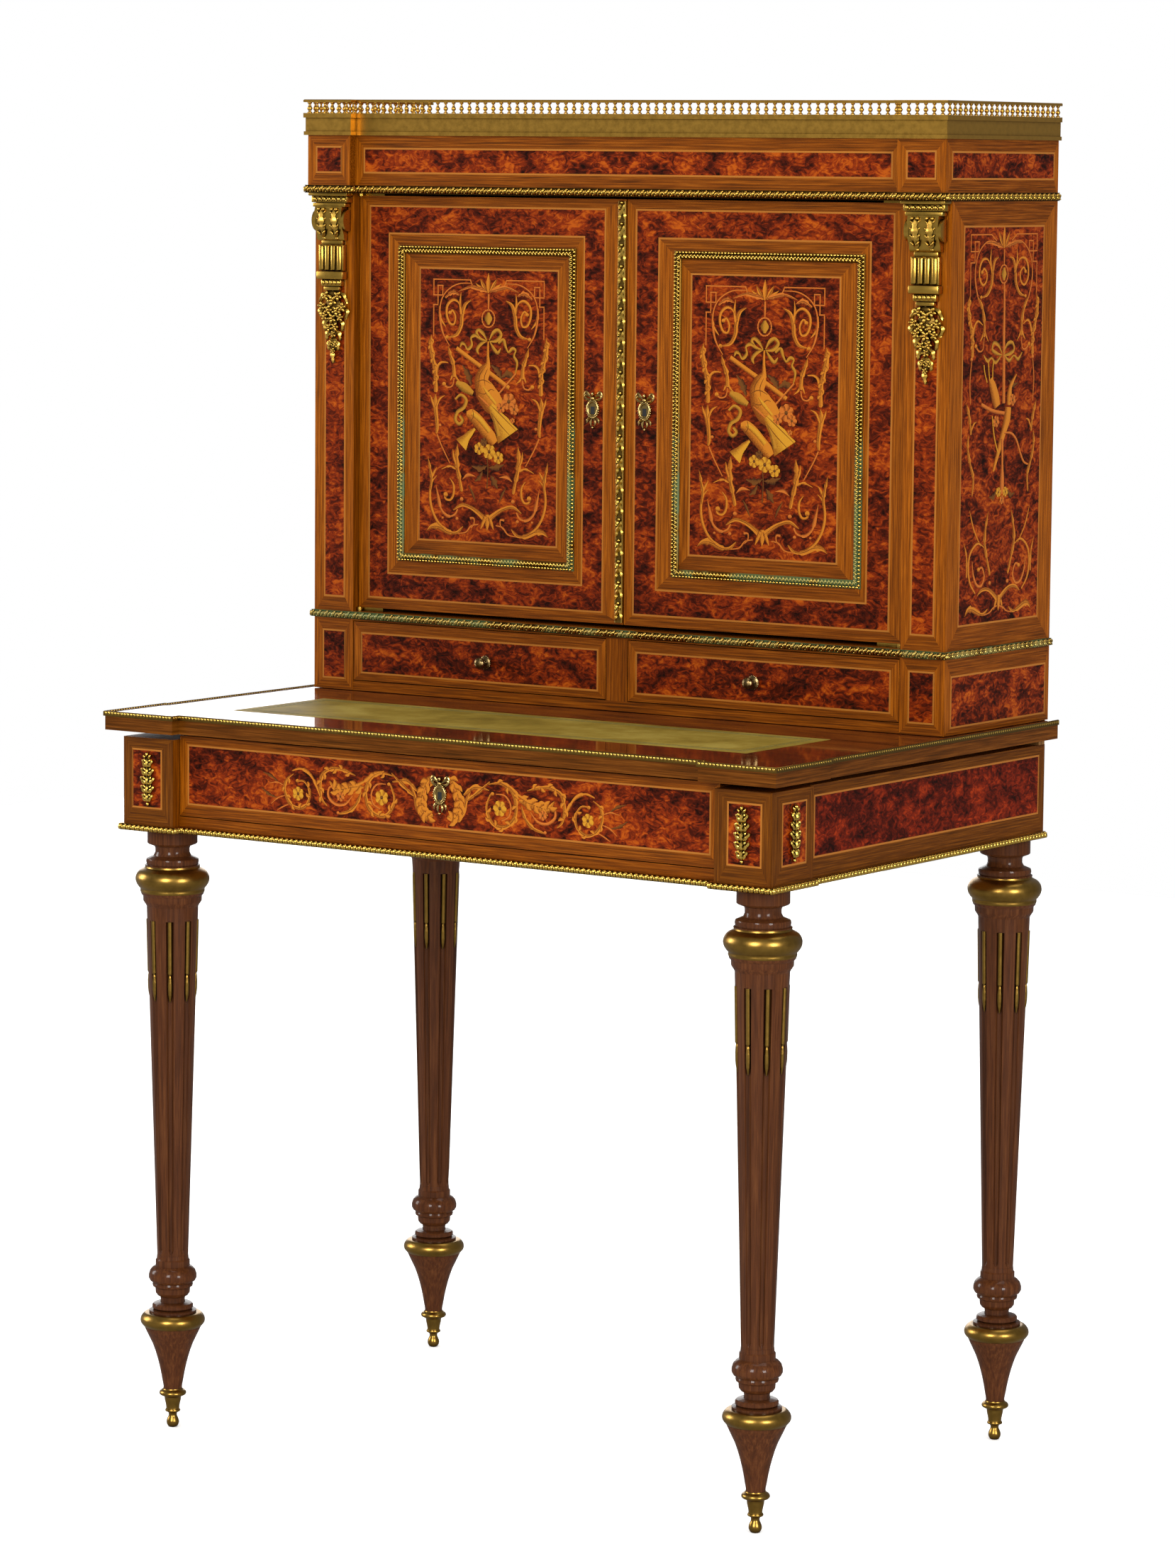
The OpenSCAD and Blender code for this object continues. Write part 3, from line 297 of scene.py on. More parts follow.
def hide_leather():
    # Skiver leather, dyed olive green and faded: pebbled grain of about 0.8 mm, a little
    # sheen and paler where it is rubbed
    material, tree, shader = new_material("olive_skiver_leather")
    place = object_place(tree)
    pebbles = add(tree, "ShaderNodeTexVoronoi", inputs={"Vector": place, "Scale": 1100})
    base = shades(tree, noise(tree, place, 16, 6, 0.65),
                  [(0.3, "#5f4f16"), (0.5, "#776422"), (0.7, "#8b7a36")])
    bump = add(tree, "ShaderNodeBump", inputs={
        "Strength": 0.35, "Distance": 0.0002, "Height": pebbles.outputs["Distance"]})
    wire(shader, Base_Color=base, Normal=bump.outputs[0], Roughness=0.55, IOR=1.45,
         Specular_IOR_Level=0.15)
    return material


def plain_finish(name, code, roughness, metallic=0.0, cloudy=0.25):
    # A plain surface with faint cloudy variation, for the iron locks, the gold lines and the
    # painted shade behind the keyholes
    material, tree, shader = new_material(name)
    faint = calc(tree, "MULTIPLY", noise(tree, object_place(tree), 300, 4), cloudy)
    wire(shader, Base_Color=tint(tree, rgb(code), "#1e1a16", faint), Roughness=roughness,
         Metallic=metallic)
    return material


def studio_floor():
    # Matt white paper floor, which the brass and the polish reflect only as a pale grey
    material, tree, shader = new_material("white_paper_floor")
    rays = add(tree, "ShaderNodeLightPath").outputs
    wire(shader, Roughness=0.8,
         Base_Color=tint(tree, rgb("#fcfcfb"), "#6e6e6e", rays["Is Glossy Ray"]))
    return material


def three_tones(reach, *codes):
    """Dark, middle and light tones about the middle of a pattern's range."""
    return list(zip((0.5 - reach, 0.5, 0.5 + reach), codes))


BURR_TONES = [(0.37, "#140300"), (0.46, "#3a0c00"), (0.54, "#661e00"), (0.63, "#8c3e04")]
APRON_TONES = [(0.37, "#160300"), (0.47, "#380800"), (0.56, "#5c1400"), (0.66, "#822600")]
UP_TONES = three_tones(0.18, "#4c2200", "#6e3600", "#8c4c08")
LEVEL_TONES = three_tones(0.18, "#3c1b00", "#5e2c00", "#794006")
POST_TONES = three_tones(0.18, "#351800", "#4d2600", "#653704")
EDGE_TONES = three_tones(0.18, "#2c1602", "#482404", "#5f350c")
LEG_TONES = three_tones(0.18, "#331a0b", "#40210e", "#4e2c14")
TOP_TONES = three_tones(0.2, "#260b04", "#4a1b08", "#6c320e")
OAK_TONES = three_tones(0.2, "#4f341a", "#6b4824", "#805c34")

# How fine the grain is across and along a strip
FINE = 620
LONG = 14
OAK_FINE = 480
OAK_LONG = 9

materials = {
    "burr": burr_veneer("thuya_burr_veneer", BURR_TONES, (0, 0, 0)),
    "apron": burr_veneer("thuya_burr_veneer_red", APRON_TONES, (0.4, 0.2, 0.1)),
    "up": straight_veneer("rosewood_border_upright", UP_TONES, "UV", (LONG, FINE, 1)),
    "level": straight_veneer("rosewood_border_level", LEVEL_TONES, "UV", (LONG, FINE, 1)),
    "post": straight_veneer("rosewood_border_dark", POST_TONES, "UV", (LONG, FINE, 1)),
    "board_x": straight_veneer("rosewood_board_level", LEVEL_TONES, "Object",
                               (LONG, FINE, FINE), coat=0),
    "board_z": straight_veneer("rosewood_board_upright", LEVEL_TONES, "Object",
                               (FINE, FINE, LONG), coat=0),
    "top": polished_top("polished_rosewood_top", TOP_TONES, EDGE_TONES),
    "leg": straight_veneer("polished_rosewood_turning", LEG_TONES, "Object",
                           (420, 420, 8), 0.35, 0.25, painted_flute_shade=True),
    "oak": straight_veneer("quartered_oak", OAK_TONES, "Object",
                           (OAK_FINE, OAK_LONG, OAK_FINE), 0.5, 0.0),
    "oak_x": straight_veneer("quartered_oak_level", OAK_TONES, "Object",
                             (OAK_LONG, OAK_FINE, OAK_FINE), 0.5, 0.0),
    "oak_z": straight_veneer("quartered_oak_upright", OAK_TONES, "Object",
                             (OAK_FINE, OAK_FINE, OAK_LONG), 0.5, 0.0),
    "string": inlay_wood("boxwood_string", "#84501a", "#663a0e"),
    "satin": inlay_wood("sand_shaded_satinwood", "#985a14", "#5e2c04"),
    "holly": inlay_wood("sand_shaded_holly", "#9c6c18", "#70400a"),
    "pear": inlay_wood("stained_pearwood", "#965018", "#602c0a"),
    "sash": inlay_wood("olive_stained_holly", "#8a5c16", "#57360a"),
    "leafwood": inlay_wood("brown_stained_sycamore", "#54300e", "#2e1608"),
    "seam": inlay_wood("scorched_cut_line", "#5c300a", "#341a06"),
    "brass": gilt_brass("chased_gilt_brass", "#d2a648", "#2e2008", 0.27),
    "bead_brass": gilt_brass("burnished_gilt_beads", "#f2c75c", "#54390c", 0.22, worn=0.2),
    # Dark brass for the grounds of the mouldings, and as painted shade on the backings behind the
    # pierced mounts.
    "dark_ground": gilt_brass("dark_brass_ground_and_painted_shade", "#80622a", "#20160a", 0.38),
    "green_brass": gilt_brass("chased_brass_with_verdigris", "#c09c4c", "#241e0a", 0.24,
                              green_below=0.858),
    "green_ground": gilt_brass("brass_ground_with_verdigris", "#7a5820", "#20160a", 0.38,
                               green_below=1.08),
    "leaf_brass": gilt_brass("gilt_leaves_with_verdigris", "#f2c75c", "#54390c", 0.24,
                             green_below=1.03, worn=0.2),
    "plate_brass": gilt_brass("cast_brass_dark_in_the_hollows", "#c8a764", "#2c200a", 0.24),
    "smooth_brass": gilt_brass("lacquered_turned_brass", "#a5803a", "#664b1c", 0.3,
                               worn=0.6),
    "gallery_brass": gilt_brass("rolled_brass_gallery", "#dca848", "#845e22", 0.3,
                                worn=0.45),
    "dark_brass": gilt_brass("tarnished_bronze", "#7a6440", "#2b2114", 0.25),
    "leather": hide_leather(),
    "tooling": plain_finish("pressed_gold_leaf_line", "#5f5a24", 0.5, cloudy=0.5),
    "steel": plain_finish("forged_iron_lock", "#6d6862", 0.45, metallic=1.0),
    "keyway": plain_finish("lock_face_in_shadow", "#0b0907", 0.7),
    "floor": studio_floor(),
}



# Working on meshes

def grab(obj):
    """Makes a piece the only selected one."""
    bpy.ops.object.select_all(action="DESELECT")
    obj.select_set(True)
    bpy.context.view_layer.objects.active = obj
    return obj


@contextmanager
def edit_mode(obj):
    grab(obj)
    bpy.ops.object.mode_set(mode="EDIT")
    yield
    bpy.ops.object.mode_set(mode="OBJECT")


@contextmanager
def edge_picking():
    """Picks edges instead of faces."""
    bpy.context.tool_settings.mesh_select_mode = (False, True, False)
    yield
    bpy.context.tool_settings.mesh_select_mode = (False, False, True)


def modify(obj, kind, **settings):
    """Puts one modifier on a piece and applies it."""
    modifier = obj.modifiers.new(kind.lower(), kind)
    for name, value in settings.items():
        setattr(modifier, name, value)
    grab(obj)
    bpy.ops.object.modifier_apply(modifier=modifier.name)
    return obj


def join(parts, name):
    """Joins parts into one piece with its place in its mesh."""
    bpy.ops.object.select_all(action="DESELECT")
    for part in parts:
        part.select_set(True)
    bpy.context.view_layer.objects.active = parts[0]
    if len(parts) > 1:
        bpy.ops.object.join()
    piece = parts[0]
    piece.name = name
    piece.data.name = name
    return piece


def duplicate(obj, matrix=None):
    """A copy with its own mesh, moved in the mesh."""
    copy = obj.copy()
    copy.data = obj.data.copy()
    scene.collection.objects.link(copy)
    if matrix is not None:
        copy.data.transform(matrix)
    return copy


def discard(obj):
    mesh = obj.data
    bpy.data.objects.remove(obj)
    bpy.data.meshes.remove(mesh)


def give(obj, *keys):
    """Gives a piece its materials."""
    obj.data.materials.clear()
    for key in keys:
        obj.data.materials.append(materials[key])
    return obj


def dress(obj, body, slot, *replaced):
    """Puts a finished piece on its body and hides the nodes it stands for; its finish is not
    used.
    """
    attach(obj, body)
    if replaced:
        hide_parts(*replaced)


# Ways from a flat drawing to its place: x to the right and y up as one faces the piece
def facing_front(y):
    return Matrix(((1, 0, 0, 0), (0, 0, -1, y), (0, 1, 0, 0), (0, 0, 0, 1)))


def facing_right(x):
    return Matrix(((0, 0, 1, x), (1, 0, 0, 0), (0, 1, 0, 0), (0, 0, 0, 1)))


def facing_left(x):
    return Matrix(((0, 0, -1, -x), (-1, 0, 0, 0), (0, 1, 0, 0), (0, 0, 0, 1)))


def move(x, y=0, z=0):
    return Matrix.Translation((x, y, z))


TO_METRES = Matrix.Scale(MM, 4)

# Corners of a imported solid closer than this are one
WELD = 0.01 * MM


def put(obj, place):
    """Moves a piece drawn flat in millimetres to its place in metres."""
    obj.data.transform(TO_METRES @ place)
    obj.data.update()
    return obj


# Veneers

# How far a veneer stands out, how deep its back lies in the ground, and a string's width
VENEER = 0.35
GLUE_DEPTH = 0.05
STRING = 1.9

# Play when a strip is matched to its ring, and how far apart two strips' grain can lie
SLACK = 0.01
LONGEST_SHIFT = 3


def shrink(rect, *margins):
    """A rectangle (x0, x1, z0, z1) drawn in by one margin, or by left, right, low, high."""
    if len(margins) == 1:
        margins = margins * 4
    return (rect[0] + margins[0], rect[1] - margins[1], rect[2] + margins[2],
            rect[3] - margins[3])


def mirrored_rect(rect):
    return (-rect[1], -rect[0], rect[2], rect[3])


def lay(leaf, thickness, place):
    """Thickens a flat drawing downwards and lays it on its ground."""
    modify(leaf, "SOLIDIFY", thickness=thickness, offset=-1)
    for v in leaf.data.vertices:
        v.co.z += VENEER
    return put(leaf, place)


def set_corners(vertices, middle, rect):
    """Moves a face's corners to a rectangle."""
    for v in vertices:
        v.co.x = rect[1] if v.co.x > middle.x else rect[0]
        v.co.y = rect[3] if v.co.y > middle.y else rect[2]


def lay_grain(mesh, rects, levels):
    """Gives each strip its wood and runs its grain along it."""
    grain = mesh.uv_layers.active or mesh.uv_layers.new(name="grain")
    for face in mesh.polygons:
        xs = [mesh.vertices[i].co.x for i in face.vertices]
        ys = [mesh.vertices[i].co.y for i in face.vertices]
        ring = max(k for k, r in enumerate(rects)
                   if min(xs) > r[0] - SLACK and max(xs) < r[1] + SLACK
                   and min(ys) > r[2] - SLACK and max(ys) < r[3] + SLACK)
        upright = max(ys) - min(ys) > max(xs) - min(xs)
        wood = levels[ring]
        if wood == "border":
            wood = "up" if upright else "level"
        keys = [m.name for m in mesh.materials]
        face.material_index = keys.index(materials[wood].name)
        shift = chance.random() * LONGEST_SHIFT
        for loop in face.loop_indices:
            co = mesh.vertices[mesh.loops[loop].vertex_index].co
            along, across = (co.y, co.x) if upright else (co.x, co.y)
            grain.data[loop].uv = (along * MM + shift, across * MM + shift)


def sheet(place, outer, strings, core="burr", borders=None):
    """A veneered face: a border, strings of boxwood and a middle, mitred at the corners."""
    borders = borders or ["border"] * len(strings)
    rects = [outer]
    woods = []
    for border, rect in zip(borders, strings):
        woods += [border, "string"]
        rects += [rect, shrink(rect, STRING)]
    woods.append(core)
    bpy.ops.mesh.primitive_plane_add(size=1)
    leaf = bpy.context.object
    set_corners(leaf.data.vertices, Vector((0, 0)), outer)
    for rect in rects[1:]:
        with edit_mode(leaf):
            if rect is rects[1]:
                bpy.ops.mesh.select_all(action="SELECT")
            bpy.ops.mesh.inset(thickness=0.5, depth=0)
        face = next(p for p in leaf.data.polygons if p.select)
        set_corners([leaf.data.vertices[i] for i in face.vertices], face.center.copy(), rect)
    give(leaf, *dict.fromkeys(
        w for wood in woods for w in (("up", "level") if wood == "border" else (wood,))))
    lay_grain(leaf.data, rects, woods)
    return lay(leaf, VENEER + GLUE_DEPTH, place)


def both_sides(x, outer, strings, core="burr", borders=None):
    """The same veneer on the right and the left side of the desk."""
    turned = [mirrored_rect(r) for r in [outer, *strings]]
    return [sheet(facing_right(x), outer, strings, core, borders),
            sheet(facing_left(x), turned[0], turned[1:], core, borders)]


def front_pair(y, outer, string, borders=None):
    """The same veneer at the right and the left of the front."""
    return [sheet(facing_front(y), outer, [string], borders=borders),
            sheet(facing_front(y), mirrored_rect(outer), [mirrored_rect(string)],
                  borders=borders)]


bpy.context.tool_settings.mesh_select_mode = (False, False, True)
bpy.ops.object.select_all(action="DESELECT")

# Planes of the front, from the cabinet to the lower case, and of the back and the sides
FRIEZE_Y = 54.95
FRIEZE_BLOCK_Y = 44.95
STILE_Y = 58.75
SMALL_Y = 59.25
DOOR_Y = 68.25
WIDE_Y = -254.75
BLOCK_Y = -265.75
BLOCK_BACK_Y = -190.75
BACK_Y = 272.25
SIDE_X = 397
BLOCK_X = 399
APRON_X = 394

# Levels of the lower case, the cabinet's foot, the waist and the frieze
CASE_LEVELS = (640, 738)
FOOT_LEVELS = (764.2, 845.5)
DOOR_LEVELS = (845.5, 1302)
FRIEZE_LEVELS = (1302, 1362)


def veneer_cabinet():
    parts = [sheet(facing_front(FRIEZE_Y), (-341, 341, *FRIEZE_LEVELS),
                   [(-330, 330, 1321.5, 1349)])]
    block = (341, SIDE_X, *FRIEZE_LEVELS)
    parts += front_pair(FRIEZE_BLOCK_Y, block, shrink(block, 10.5, 10.5, 19.5, 11.5))
    parts += both_sides(SIDE_X, (FRIEZE_BLOCK_Y, BACK_Y, *FRIEZE_LEVELS),
                        [(57, 264, 1321.5, 1350)])
    parts += both_sides(SIDE_X, (STILE_Y, BACK_Y, *DOOR_LEVELS), [(83, 246, 873, 1276)])
    parts += both_sides(SIDE_X, (STILE_Y, BACK_Y, *FOOT_LEVELS), [(71.5, 265, 771, 824.5)])
    for levels, margins in ((DOOR_LEVELS, (11, 12.5, 19, 12)),
                            (FOOT_LEVELS, (10, 11, 11, 16.5))):
        stile = (345, SIDE_X, *levels)
        parts += front_pair(STILE_Y, stile, shrink(stile, *margins))
    dress(join(parts, "cabinet_veneer"), "carcase", "burr")


def veneer_lower_case():
    parts = front_pair(BLOCK_Y, (334, BLOCK_X, *CASE_LEVELS), (348.3, 388.3, 664, 726.5),
                       ["post"])
    parts += both_sides(BLOCK_X, (BLOCK_Y, BLOCK_BACK_Y, *CASE_LEVELS),
                        [(-247.5, -202.5, 664, 726.5)], borders=["post"])
    parts += both_sides(APRON_X, (BLOCK_BACK_Y, BACK_Y, *CASE_LEVELS),
                        [(-181.5, 261, 666, 728)], "apron", ["post"])
    dress(join(parts, "lower_case_veneer"), "carcase", "burr")


def finish_front(leaf, body):
    leaf.name = body + "_veneer"
    dress(leaf, body, "burr")


def veneer_doors():
    for body, door, strings in (
            ("left_door", (-344, 0.8, 854.2, 1297.8),
             [(-331.5, -24.6, 865, 1288), (-306, -51, 892, 1259), (-265, -83.5, 930.5, 1223)]),
            ("right_door", (2.4, 344, 854.2, 1297.8),
             [(12.6, 326, 865, 1288), (41, 299, 892, 1259), (81.5, 263.4, 930.5, 1223)])):
        finish_front(sheet(facing_front(DOOR_Y), door, strings,
                           borders=["border", "burr", "border"]), body)


def veneer_drawers():
    right, left = front_pair(SMALL_Y, (14.4, 344.1, 775.6, 838.9), (23.5, 334.5, 783, 828))
    wide = sheet(facing_front(WIDE_Y), (-332.9, 332.9, 658.6, 741.9),
                 [(-323, 323, 670.4, 733.5)])
    finish_front(right, "right_small_drawer")
    finish_front(left, "left_small_drawer")
    finish_front(wide, "frieze_drawer")


# Marquetry, drawn in millimetres on the face: each stroke gives the wood, its widths
# from end to end, the lobes along its edge, and the points it runs through

DOOR_MIDDLE = 172.4
DOOR_KEYS = [
    [(193, 1204), (196, 1210.5), (244, 1210.5), (244, 1193.5), (232, 1193.5),
     (232, 1204), (238.5, 1204), (238.5, 1183.5), (244, 1183.5), (244, 1150)],
]
DOOR_SCROLLS = [
    ("satin", (1.5, 4.5, 0.5), 0, [(174, 1198), (179, 1205), (183, 1212)]),
    ("satin", (1.5, 4, 0.5), 0, [(175, 1198), (182, 1202), (189, 1207)]),
    ("pear", (2, 6, 4, 0.6), 3, [(174, 1199), (184, 1201), (196, 1203), (212, 1198)]),
    ("satin", (1.2, 4.6, 5, 4.4, 1), 0,
     [(195, 1189), (203, 1184), (207, 1172), (208, 1162), (214, 1152), (226, 1149)]),
    ("satin", (4, 3, 0.6), 0, [(207, 1174), (209, 1185), (208, 1197)]),
    ("satin", (1.2, 3.4, 3, 2.4, 2.6), 0,
     [(208, 1180), (212, 1187), (219, 1189), (226, 1183), (227, 1173), (223, 1164),
      (217, 1163), (215, 1171), (219, 1178), (223, 1174)]),
    ("pear", (1.5, 6, 2), 4, [(210, 1194), (219, 1197), (229, 1191)]),
    ("pear", (1, 1.6, 1.6, 2.6, 1), 0,
     [(195, 1207), (212, 1206), (226, 1199), (234, 1188), (236, 1172), (232, 1154),
      (223, 1140)]),
    ("satin", (0.6, 4, 0.8), 2, [(237, 1182), (235, 1169), (228, 1160)]),
    ("satin", (1.2, 7.5, 6.5, 6, 6.5, 5), 5,
     [(98, 1151), (97, 1140), (100, 1126), (103, 1114), (104, 1102), (104, 1090)]),
    ("satin", (4, 3, 1.2), 0, [(105, 1110), (107, 1118), (112, 1122), (120, 1122)]),
    ("satin", (1, 7, 5, 4.5, 2.5), 0,
     [(104, 1088), (103, 1078), (105, 1064), (106, 1052), (105, 1046)]),
    ("satin", (0.5, 2.8, 2), 0, [(97, 1087), (99, 1081), (102, 1074)]),
    ("satin", (0.5, 2.8, 2), 0, [(116, 1087), (109, 1083), (105, 1074)]),
    ("pear", (2, 1.8, 1.2), 0, [(106, 1045), (112, 1033), (123, 1015)]),
    ("satin", (0.8, 5, 6, 4.5), 3, [(120, 1140), (123, 1130), (127, 1120), (128, 1107)]),
    ("satin", (2, 2.4, 0.6), 0, [(127, 1112), (125, 1107), (123, 1103)]),
    ("satin", (2, 2.6, 0.6), 0, [(129, 1111), (131, 1106), (136, 1102)]),
    ("pear", (1.5, 1.8, 2.6), 0, [(128, 1106), (126, 1098), (120, 1096), (115, 1099)]),
    ("satin", (1, 6, 7, 6, 5, 3.5), 4,
     [(133, 1036), (132, 1022), (133, 1010), (136, 998), (139, 985)]),
    ("satin", (2.5, 3, 0.6), 3, [(131, 1009), (123, 1012), (112, 1008)]),
    ("satin", (0.5, 3, 2), 0, [(127, 1030), (128, 1022), (131, 1014)]),
    ("satin", (0.8, 3, 3.4, 3.2, 2), 0,
     [(106, 1001), (99, 993), (97, 978), (100, 964), (107, 952), (116, 945)]),
    ("satin", (0.5, 4, 5, 1.5), 3, [(94, 1021), (97, 1008), (99, 998), (98, 985)]),
    ("satin", (0.5, 3, 1), 0, [(106, 1010), (102, 1004), (99, 996)]),
    ("pear", (0.8, 4, 3.4, 3, 2), 3,
     [(105, 991), (108, 978), (112, 965), (121, 958), (130, 960), (134, 966)]),
    ("satin", (0.8, 3, 3, 2.6, 3.4), 0,
     [(123, 999), (128, 992), (128, 982), (124, 976), (118, 977), (117, 983)]),
    ("satin", (7, 5, 4, 4, 1.2), 0,
     [(171, 956), (160, 964), (150, 969), (139, 971), (128, 965)]),
    ("satin", (0.8, 5, 8, 5, 4, 1), 3,
     [(93, 941), (100, 946), (110, 946), (122, 941), (133, 941), (141, 948)]),
    ("pear", (1.2, 2, 1.4), 0, [(134, 940), (145, 942), (152, 949), (161, 951)]),
    ("pear", (2.8, 1.6, 1.2), 0, [(150, 957), (155, 957), (155, 951), (151, 947)]),
    ("satin", (4, 4, 0.8), 0, [(170, 960), (167, 953), (164, 946)]),
    ("pear", (0.5, 4, 0.5), 0, [(140, 998), (147, 1003), (157, 1002)]),
    ("leafwood", (0.5, 3, 0.5), 0, [(148, 992), (153, 984), (157, 975)]),
]
DOOR_DOTS = [
    ("satin", 2.2, (222.5, 1175)), ("satin", 2.4, (115, 1099)), ("pear", 2.3, (139, 977)),
    ("satin", 2.8, (118, 981)), ("pear", 1.9, (133, 956)), ("pear", 1.4, (114, 956)),
    ("satin", 2.2, (226, 1149)), ("pear", 1.8, (110, 1055)),
]
DOOR_EMBLEM = [
    ("satin", (2, 6, 0.5), 0, [(172.4, 1197), (172.4, 1207), (172.4, 1218)]),
    ("satin", (5, 6, 1), 0, [(172.4, 962), (172.4, 953), (172.4, 945)]),
    ("pear", (2, 2.6, 1.6), 0, [(172.4, 1196), (172.4, 1190), (172.4, 1180)]),
    ("leafwood", (1, 9, 1), 4, [(151, 1098), (147, 1109), (139, 1120)]),
    ("leafwood", (1, 8, 2), 4, [(190, 1106), (186, 1114), (177, 1121)]),
    ("leafwood", (2, 9, 1), 4, [(190, 1108), (199, 1112), (206, 1106)]),
    ("leafwood", (1, 8, 1), 3, [(172, 1014), (163, 1011), (152, 1013)]),
    ("leafwood", (1, 8, 1), 3, [(174, 1012), (184, 1012), (194, 1016)]),
    ("leafwood", (1, 9, 1), 3, [(177, 1004), (181, 997), (186, 990)]),
    ("leafwood", (1, 6, 1), 3, [(166, 1008), (162, 1001), (156, 997)]),
    ("leafwood", (1.2, 1.2), 0, [(172, 1022), (173, 1010), (172, 990)]),
    ("sash", (5.2, 10.4, 5.2), 0, [(131, 1101), (142, 1096), (153, 1090)]),
    ("sash", (2.6, 4.4, 3.9, 3.4), 0,
     [(130, 1083), (137, 1088), (144, 1083), (141, 1075), (133, 1070), (130, 1062),
      (135, 1057), (140, 1061), (136, 1066)]),
    ("sash", (1.3, 4.2, 3.1, 3.9, 1.3), 0,
     [(171, 1147), (166, 1154), (160, 1158), (157, 1155), (161, 1149), (171, 1146)]),
    ("sash", (1.3, 4.4, 3.6, 4.4, 1.3), 0,
     [(174, 1147), (179, 1155), (185, 1158), (189, 1153), (183, 1147), (174, 1146)]),
    ("sash", (1.3, 3.9, 3.9, 1.3), 0, [(170, 1146), (163, 1143), (158, 1137), (160, 1132)]),
    ("sash", (1.3, 3.9, 3.9, 1.3), 0, [(175, 1145), (180, 1138), (185, 1134), (189, 1139)]),
    ("sash", (2.6, 3.9, 2.1, 3.9, 2.1, 3.9, 1.3), 0,
     [(160, 1150), (155, 1152), (150, 1149), (151, 1142), (146, 1137), (142, 1142),
      (138, 1143), (136, 1139)]),
    ("sash", (2.6, 3.9, 2.1, 3.9, 2.1, 3.4, 1.3), 0,
     [(186, 1144), (192, 1148), (195, 1141), (199, 1135), (204, 1139), (208, 1137),
      (206, 1131), (210, 1124), (208, 1113)]),
    ("satin", (2, 3, 6), 0, [(172.4, 1146), (172, 1134), (172.6, 1118)]),
    ("satin", (5, 5, 5, 5), 0, [(131, 1137.5), (154, 1124), (177, 1111), (200, 1097)]),
    ("pear", (2.2, 2.2), 0, [(184, 1088), (195, 1099), (209, 1113)]),
    ("satin", (6, 15, 17, 16), 0, [(172, 1122), (168, 1114), (164, 1105), (164, 1096)]),
    ("satin", (16, 25, 27, 22, 8), 0,
     [(163, 1104), (169, 1093), (177, 1083), (185, 1076), (190, 1071)]),
    ("seam", (0.5, 1, 0.5), 0, [(156, 1101), (166, 1105), (177, 1101)]),
    ("seam", (0.5, 1, 0.5), 0, [(159, 1092), (168, 1090), (176, 1095), (181, 1094)]),
    ("seam", (0.4, 0.9, 0.4), 0, [(169, 1119), (162, 1110), (160, 1098)]),
    ("seam", (0.4, 0.9, 0.4), 0, [(172, 1117), (168, 1108), (169, 1099)]),
    ("pear", (1, 3, 1), 0, [(160, 1088), (168, 1082), (176, 1076)]),
    ("holly", (1, 4, 3), 0, [(166, 1098), (173, 1090), (183, 1080)]),
    ("holly", (8, 14, 22, 30), 0, [(176, 1078), (184, 1068), (192, 1057), (199, 1046)]),
    ("sash", (2.6, 3.9, 5.2), 0, [(178, 1071), (183, 1060), (187, 1046)]),
    ("satin", (6, 13, 14, 14, 14, 9), 0,
     [(145, 1068), (152, 1067), (160, 1061), (168, 1053), (176, 1045), (182, 1038)]),
    ("holly", (5, 6, 5), 0, [(152, 1069), (163, 1062), (175, 1050)]),
    ("seam", (0.6, 1, 0.6), 0, [(150, 1060), (154, 1066), (153, 1073)]),
    ("seam", (0.4, 0.9, 0.4), 0, [(176, 1079), (189, 1069), (213, 1050)]),
    ("seam", (0.4, 0.9, 0.4), 0, [(178, 1070), (188, 1059), (203, 1046)]),
    ("holly", (3, 8, 17), 0, [(156, 1053), (147, 1045), (138, 1035)]),
]
DOOR_FLOWERS = [
    ("pear", 9, (200, 1083)), ("pear", 6, (207, 1075)), ("pear", 5.5, (190, 1076)),
    ("holly", 6.5, (162, 1032)), ("holly", 8, (175, 1029)), ("holly", 6.5, (187, 1023)),
    ("leafwood", 4.5, (168, 1039)), ("pear", 3, (205, 1063)),
]

